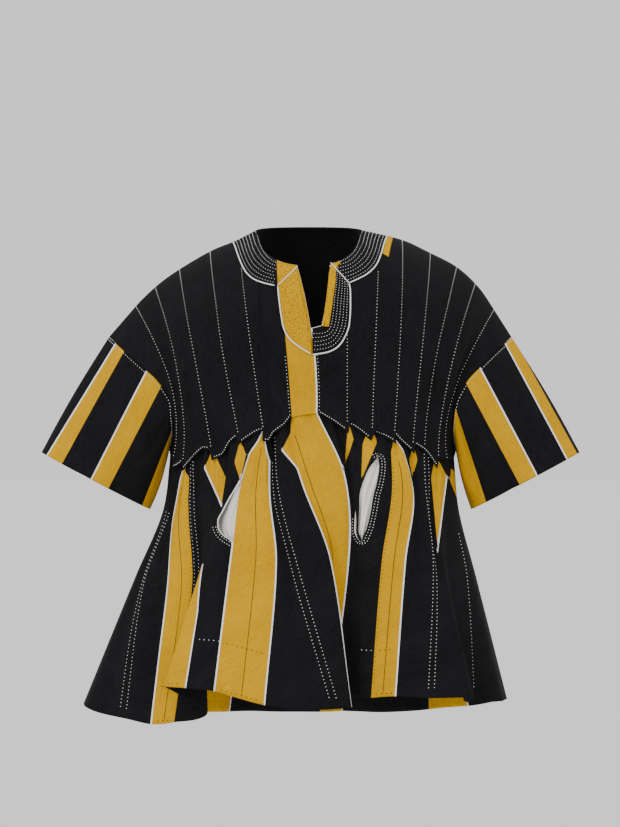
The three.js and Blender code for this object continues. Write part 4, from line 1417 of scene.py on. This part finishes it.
def on_grid(points, columns_u, line, rows, aside=0.0):
    """Points down a line at the given rows, moved aside over the cloth."""
    across = lengths_across(points)
    found = []
    for row in rows:
        low = int(min(row, len(points) - 2))
        f = row - low
        lengths = mix(across[low], across[low + 1], f)
        target = np.interp(line, columns_u, lengths) + aside
        found.append(sampled(target, lengths, mix(points[low], points[low + 1], f)))
    return np.array(found)


def seam_run(points, normals, columns_u, line, start, end, pitch, length, aside=0.0):
    rows = np.linspace(start * (len(points) - 1), end * (len(points) - 1), 120)
    out = unit(on_grid(normals, columns_u, line, rows))
    return on_grid(points, columns_u, line, rows, aside) + STITCH_LIFT * out, out, pitch, length


def side_by_side(grids):
    """The points of grids that share their edge lines, as one grid."""
    return np.concatenate([grid["points"][:, :-1] for grid in grids[:-1]] + [grids[-1]["points"]], axis=1)


bodice_front_shaped = side_by_side(bodice_grids[:-1])
skirt_shaped = side_by_side(skirt_grids[:-1])
bodice_front_out = normals_of(bodice_front_shaped)
bodice_back_out = normals_of(bodice_back)
skirt_front_out = normals_of(skirt_front)
skirt_back_out = normals_of(skirt_back)

BODICE_STITCHES = table("line start aside", [
    ("bell_seam_right", 0, 0),
    ("outer_stripe_seam", 0, 0),
    ("right_fold_crest", 0, 0),
    ("right_panel_inner", 0, 0),
    ("main_stripe_seam", 0.22, 0),
    ("centre_right", 0.62, -3),
    ("centre_left", 0.5, 5),
    ("left_panel_inner", 0.4, 0),
    ("pocket_seam", 0.26, 0),
    ("left_stripe_seam", 0, 0),
    ("left_panel_middle", 0, 0),
    ("bell_seam_left", 0, 0),
    ("left_panel_outer", 0, 0),
    ("left_fold_valley", 0, 0),
])
SKIRT_STITCHES = table("line start end aside", [
    ("bell_seam_right", 0.2, 0.97, 0),
    ("bell_seam_right", 0.2, 0.97, -11),
    ("outer_stripe_end", 0.02, 0.5, 4),
    ("outer_stripe_end", 0.02, 0.5, 12),
    ("bell_seam_front", 0.02, 0.97, 0),
    ("bell_seam_front", 0.1, 0.97, -11),
    ("bell_seam_left", 0.02, 0.97, 0),
    ("bell_seam_left", 0.02, 0.97, 10),
    ("side_seam_left", 0.3, 0.95, 0),
])
SEAM_STITCH = (5.4, 1.8)          # pitch and length
BELL_STITCH = (5.8, 2.1)
SCALLOP_STITCH = (4.0, 2.4)
CUFF_STITCH = (5.2, 2.2)
SLIT_STITCH = (4.6, 2.3)
EDGE_ROOM = 4.0                   # from the scallops' edge to their stitches
CUFF_ROOM = 3.0
HEM_ROOM = 5.0
SLIT_ROOMS = (4.0, 9.0)           # from a pocket slit's edge to its two rows
SLIT_LIFT = 0.3
runs = []
seam_end = (len(bodice_t) - 1) / (len(bodice_front) - 1)
for row in BODICE_STITCHES:
    runs.append(seam_run(bodice_front_shaped, bodice_front_out, u, number(row["line"]),
                         row["start"], seam_end, *SEAM_STITCH, row["aside"]))
for row in SKIRT_STITCHES:
    runs.append(seam_run(skirt_shaped, skirt_front_out, u, number(row["line"]),
                         row["start"], row["end"], *BELL_STITCH, row["aside"]))
BACK_SEAM_TOPS = [281, 236, 194, 149, 112, 60, 0, -60, -112, -158, -207, -246]
for top in BACK_SEAM_TOPS:
    place = np.interp(-top, -back["top"], v)
    start = 0 if abs(top) > 130 else 0.24
    runs.append(seam_run(bodice_back, bodice_back_out, v, place, start, seam_end, *SEAM_STITCH))
BACK_SKIRT_ROWS = [120, -15, -60, -190]
for waist in BACK_SKIRT_ROWS:
    place = np.interp(-waist, -back["waist"], v)
    for aside in (0, 10):
        runs.append(seam_run(skirt_back, skirt_back_out, v, place, 0.03, 0.97, *BELL_STITCH, aside))


def above_edge(points, normals, distance, first=0, last=None):
    """A run a given distance over the lower edge of a grid."""
    cols = range(first, last or points.shape[1])
    path, out = [], []
    for c in cols:
        upward = points[::-1, c]
        gone = gone_along(upward)
        path.append(sampled(distance, gone, upward))
        out.append(sampled(distance, gone, normals[::-1, c]))
    out = unit(np.array(out))
    return np.array(path) + STITCH_LIFT * out, out


for row in SCALLOPS:
    low, high = sorted((number(row["low"]), number(row["high"])))
    first = int(np.searchsorted(u, low + 0.1))
    last = int(np.searchsorted(u, high - 0.02))
    runs.append((*above_edge(bodice_front_shaped, bodice_front_out, EDGE_ROOM, first, last), *SCALLOP_STITCH))
runs.append((*above_edge(bodice_back, bodice_back_out, EDGE_ROOM), *SCALLOP_STITCH))


def split_by_gold(path, out, gold, pitch, length):
    """Runs of stitches: pale on the black cloth and dark on the gold."""
    pale, dark = [], []
    start = 0
    on_gold = gold > 0
    for i in range(1, len(path) + 1):
        if i == len(path) or on_gold[i] != on_gold[start]:
            if i - start > 2:
                (dark if on_gold[start] else pale).append((path[start:i], out[start:i], pitch, length))
            start = i
    return pale, dark


# Tacking of the hem, in the stretches where it shows: the lines between which it runs and its
# distance over the lower edge
TACKS = table("first last distance", [
    (9.2, 14.1, HEM_TURN),
    (22.5, 27.2, HEM_TURN - 4),
    (3.0, 5.0, 60),
])
PALE_TACK, DARK_TACK = (6.4, 2.6), (8.0, 3.6)
EDGE_STITCH = (6.5, 2.0)
dark_runs = []
for row in TACKS:
    first, last = (int(np.searchsorted(u, row[name])) for name in ("first", "last"))
    path, out = above_edge(skirt_shaped, skirt_front_out, row["distance"], first, last)
    pale, dark = split_by_gold(path, out, skirt_gold[-1, first:last], *PALE_TACK)
    runs += [(points, out, pitch * 1.3, length) for points, out, pitch, length in pale]
    dark_runs += [(points, out, *DARK_TACK) for points, out, _, _ in dark]
# Dark stitches just inside an edge of a gold stripe
GOLD_EDGES = table("line start end aside", [
    ("outer_stripe_end", 0.08, 0.9, -2.6),
    ("left_stripe_edge", 0.1, 0.95, 2.6),
])
for row in GOLD_EDGES:
    dark_runs.append(seam_run(skirt_shaped, skirt_front_out, u, number(row["line"]),
                              row["start"], row["end"], *EDGE_STITCH, row["aside"]))
HEMS = ((skirt_shaped, skirt_front_out, skirt_gold), (skirt_back, skirt_back_out, back_gold))
for points, normals, gold in HEMS:
    path, out = above_edge(points, normals, HEM_ROOM)
    dark_runs += split_by_gold(path, out, gold[-1], *DARK_TACK)[1]
for _, points, outward in sleeves.values():
    runs.append((*above_edge(points[::-1], outward[::-1], CUFF_ROOM), *CUFF_STITCH))

# Two rows of stitches round each pocket slit, and the soft cream cloth that fills it

def seam_x(pocket, z):
    line = number(pocket["line"])
    t = (z - LINES[line]["seam"]) / (LINES[line]["hemZ"] - LINES[line]["seam"])
    levels = [[LINES[line][level]] for level in ("waist", "upper", "middle", "hem")]
    return through(LEVEL_AT, levels, t)[:, 0]


def slit_outline(pocket, top, foot, steps=60):
    z = np.linspace(top, foot, steps)
    right = np.stack([seam_x(pocket, z) + slit_shift(pocket, z, "right"), z], axis=1)
    left = np.stack([seam_x(pocket, z) + slit_shift(pocket, z, "left"), z], axis=1)
    return right, left


# Heights where each slit's stitches start, on its edge to the wearer's right, and end, on its
# other edge. Over is the height on the first edge that they reach over the top of the slit.
POCKET_ROWS = table("name top foot start end over", [
    ("right", -376, -477, -450, -477, 0),
    ("left", -343, -480, -440, -343, -352),
])
for row in POCKET_ROWS:
    pocket = next(pocket for pocket in POCKETS if pocket["name"] == row["name"])
    right, left = slit_outline(pocket, row["top"], row["foot"])
    loop = np.concatenate([right[right[:, 1] < row["start"]], left[left[:, 1] < row["end"]][::-1],
                           right[right[:, 1] > row["over"]]])
    along = np.gradient(smoothed(loop, 8), axis=0)
    aside = unit(np.stack([along[:, 1], -along[:, 0]], axis=1), TINY)
    for room in SLIT_ROOMS:
        found = [from_front(skirt_tree, x, z) for x, z in smoothed(loop + room * aside, 6)]
        found = [(p + SLIT_LIFT * n, n) for p, n in found if p is not None]
        runs.append((*(np.array(part) for part in zip(*found)), *SLIT_STITCH))

seam_stitches = stitches("seam_stitches", runs, white_thread)
hem_stitches = stitches("hem_stitches", dark_runs, dark_thread, width=0.7, height=0.5)

base_tree = tree_of([{"points": base_skirt}])
BAG_MARGIN = 6
BAG_ROOM = 6.0                    # how far the bag's edges lie behind the skirt
BAG_BULGE = 2.4                   # how much further out its middle is
BAG_FOLD = 1.5
BAG_CREASE = 0.9
bags = []
for row in POCKET_ROWS:
    pocket = next(pocket for pocket in POCKETS if pocket["name"] == row["name"])
    right, left = slit_outline(pocket, row["top"] + 4, row["foot"] - 4, 44)
    grid = []
    for (right_x, z), (left_x, _) in zip(right, left):
        line = []
        for share in np.linspace(0, 1, 30):
            x = mix(right_x - BAG_MARGIN, left_x + BAG_MARGIN, share)
            point, _ = from_front(base_tree, x, z)
            fold = BAG_FOLD * math.sin(share * 11 + z * 0.03) + BAG_CREASE * math.sin(share * 23 - z * 0.05)
            bulge = BAG_BULGE * math.sin(math.pi * share)
            line.append(point + np.array([0, BAG_ROOM - bulge + fold, 0]))
        grid.append(line)
    grid = np.array(grid)
    bags.append(mesh_piece(f"pocket_cloth_{pocket['name']}", [{"points": grid}], pocket_cloth, wall=0.8))

# Seams in the middle of the gold stripes
STRIPE_SEAMS = table("line start end", [
    (4.0, 0.1, 0.99),
    (13.0, 0.06, 0.99),
    (18.6, 0.06, 0.5),
    (26.0, 0.1, 0.99),
])
seam_paths = []
for row in STRIPE_SEAMS:
    path, out, *_ = seam_run(skirt_shaped, skirt_front_out, u, row["line"], row["start"], row["end"], 1, 1)
    seam_paths.append(path - 0.1 * out)
stripe_seams = tube("stripe_seams", seam_paths, 0.42, dark_thread, sides=5)

# What each piece stands for and the body it rides on
ALL_NODES = sorted(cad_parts)


def stand_for(piece, slot, *starts):
    nodes = [node for node in ALL_NODES if node.startswith(starts)]
    if nodes:
        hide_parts(*nodes)
    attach(piece, "root")


stand_for(bodice, "black_cloth", "bodice_")
stand_for(skirt, "black_cloth", "skirt_")
stand_for(sleeves["sleeve_right"][0], "black_cloth", "sleeve_right")
stand_for(sleeves["sleeve_left"][0], "black_cloth", "sleeve_left")
stand_for(band_ring, "band_cloth", "neck_band_")
stand_for(slit_band, "band_cloth", "slit_band")
stand_for(edging, "gold_cloth", "slit_edging")
stand_for(bags[0], "pocket_cloth", "pocket_bag_right")
stand_for(bags[1], "pocket_cloth", "pocket_bag_left")
for piece in (gold_patch, shoulder_patch):
    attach(piece, "root")
for piece in (neck_stitches, neck_threads, neck_edge, seam_stitches):
    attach(piece, "root")
for piece in (hem_stitches, stripe_seams):
    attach(piece, "root")

# The stage: a pale floor and even soft light
FLOOR_Z = -1.45
FLOOR_RADIUS = 60
FLOOR_SIDES = 96
floor_mesh = bpy.data.meshes.new("floor")
turns = np.linspace(0, 2 * math.pi, FLOOR_SIDES + 1)[:-1]
floor_rim = [(FLOOR_RADIUS * math.cos(a), FLOOR_RADIUS * math.sin(a), FLOOR_Z) for a in turns]
floor_mesh.from_pydata(floor_rim, [], [tuple(range(FLOOR_SIDES))])
floor = bpy.data.objects.new("floor", floor_mesh)
bpy.context.collection.objects.link(floor)
floor_nodes = Nodes("Floor")
floor_place = floor_nodes.add("TexCoord").outputs["Object"]
floor_grain = floor_nodes.noise(floor_place, 3.0)
floor_nodes.link(floor_nodes.blend(floor_grain, (0.79, 0.79, 0.80), (0.81, 0.81, 0.82)),
                 floor_nodes.shader.inputs["Base Color"])
floor_nodes.shader.inputs["Roughness"].default_value = 1.0
floor_nodes.shader.inputs["Specular IOR Level"].default_value = 0.0
floor.data.materials.append(floor_nodes.material)

world = bpy.data.worlds.new("World")
bpy.context.scene.world = world
world.use_nodes = True
world.node_tree.nodes["Background"].inputs["Color"].default_value = (0.985, 0.985, 1.0, 1)
world.node_tree.nodes["Background"].inputs["Strength"].default_value = 1.0

LIGHTS = table("name azimuth height strength spread", [
    ("key", -42, 40, 1.15, 25),
    ("fill", 55, 20, 0.20, 60),
    ("back", 160, 40, 0.30, 40),
])
for row in LIGHTS:
    light = bpy.data.lights.new(row["name"], "SUN")
    light.energy = row["strength"]
    light.angle = math.radians(row["spread"])
    turn, rise = math.radians(row["azimuth"]), math.radians(row["height"])
    towards = Vector((math.sin(turn) * math.cos(rise), -math.cos(turn) * math.cos(rise), math.sin(rise)))
    lamp = bpy.data.objects.new(row["name"], light)
    lamp.rotation_mode = "QUATERNION"
    lamp.rotation_quaternion = (-towards).to_track_quat("-Z", "Y")
    bpy.context.collection.objects.link(lamp)

# Camera: level, in front, with the photo's frame 1.3232 m high at the smock's middle
CAMERA_DISTANCE = 6.0
FRAME_HEIGHT = 1.3232
SENSOR = 36.0
CAMERA_X, CAMERA_Z = 0.0016, -0.2776
camera_data = bpy.data.cameras.new("camera")
camera_data.sensor_width = SENSOR
camera_data.lens = SENSOR * CAMERA_DISTANCE / FRAME_HEIGHT
camera = bpy.data.objects.new("camera", camera_data)
camera.location = (CAMERA_X, -CAMERA_DISTANCE, CAMERA_Z)
camera.rotation_euler = (math.pi / 2, 0, 0)
bpy.context.collection.objects.link(camera)
bpy.context.scene.camera = camera
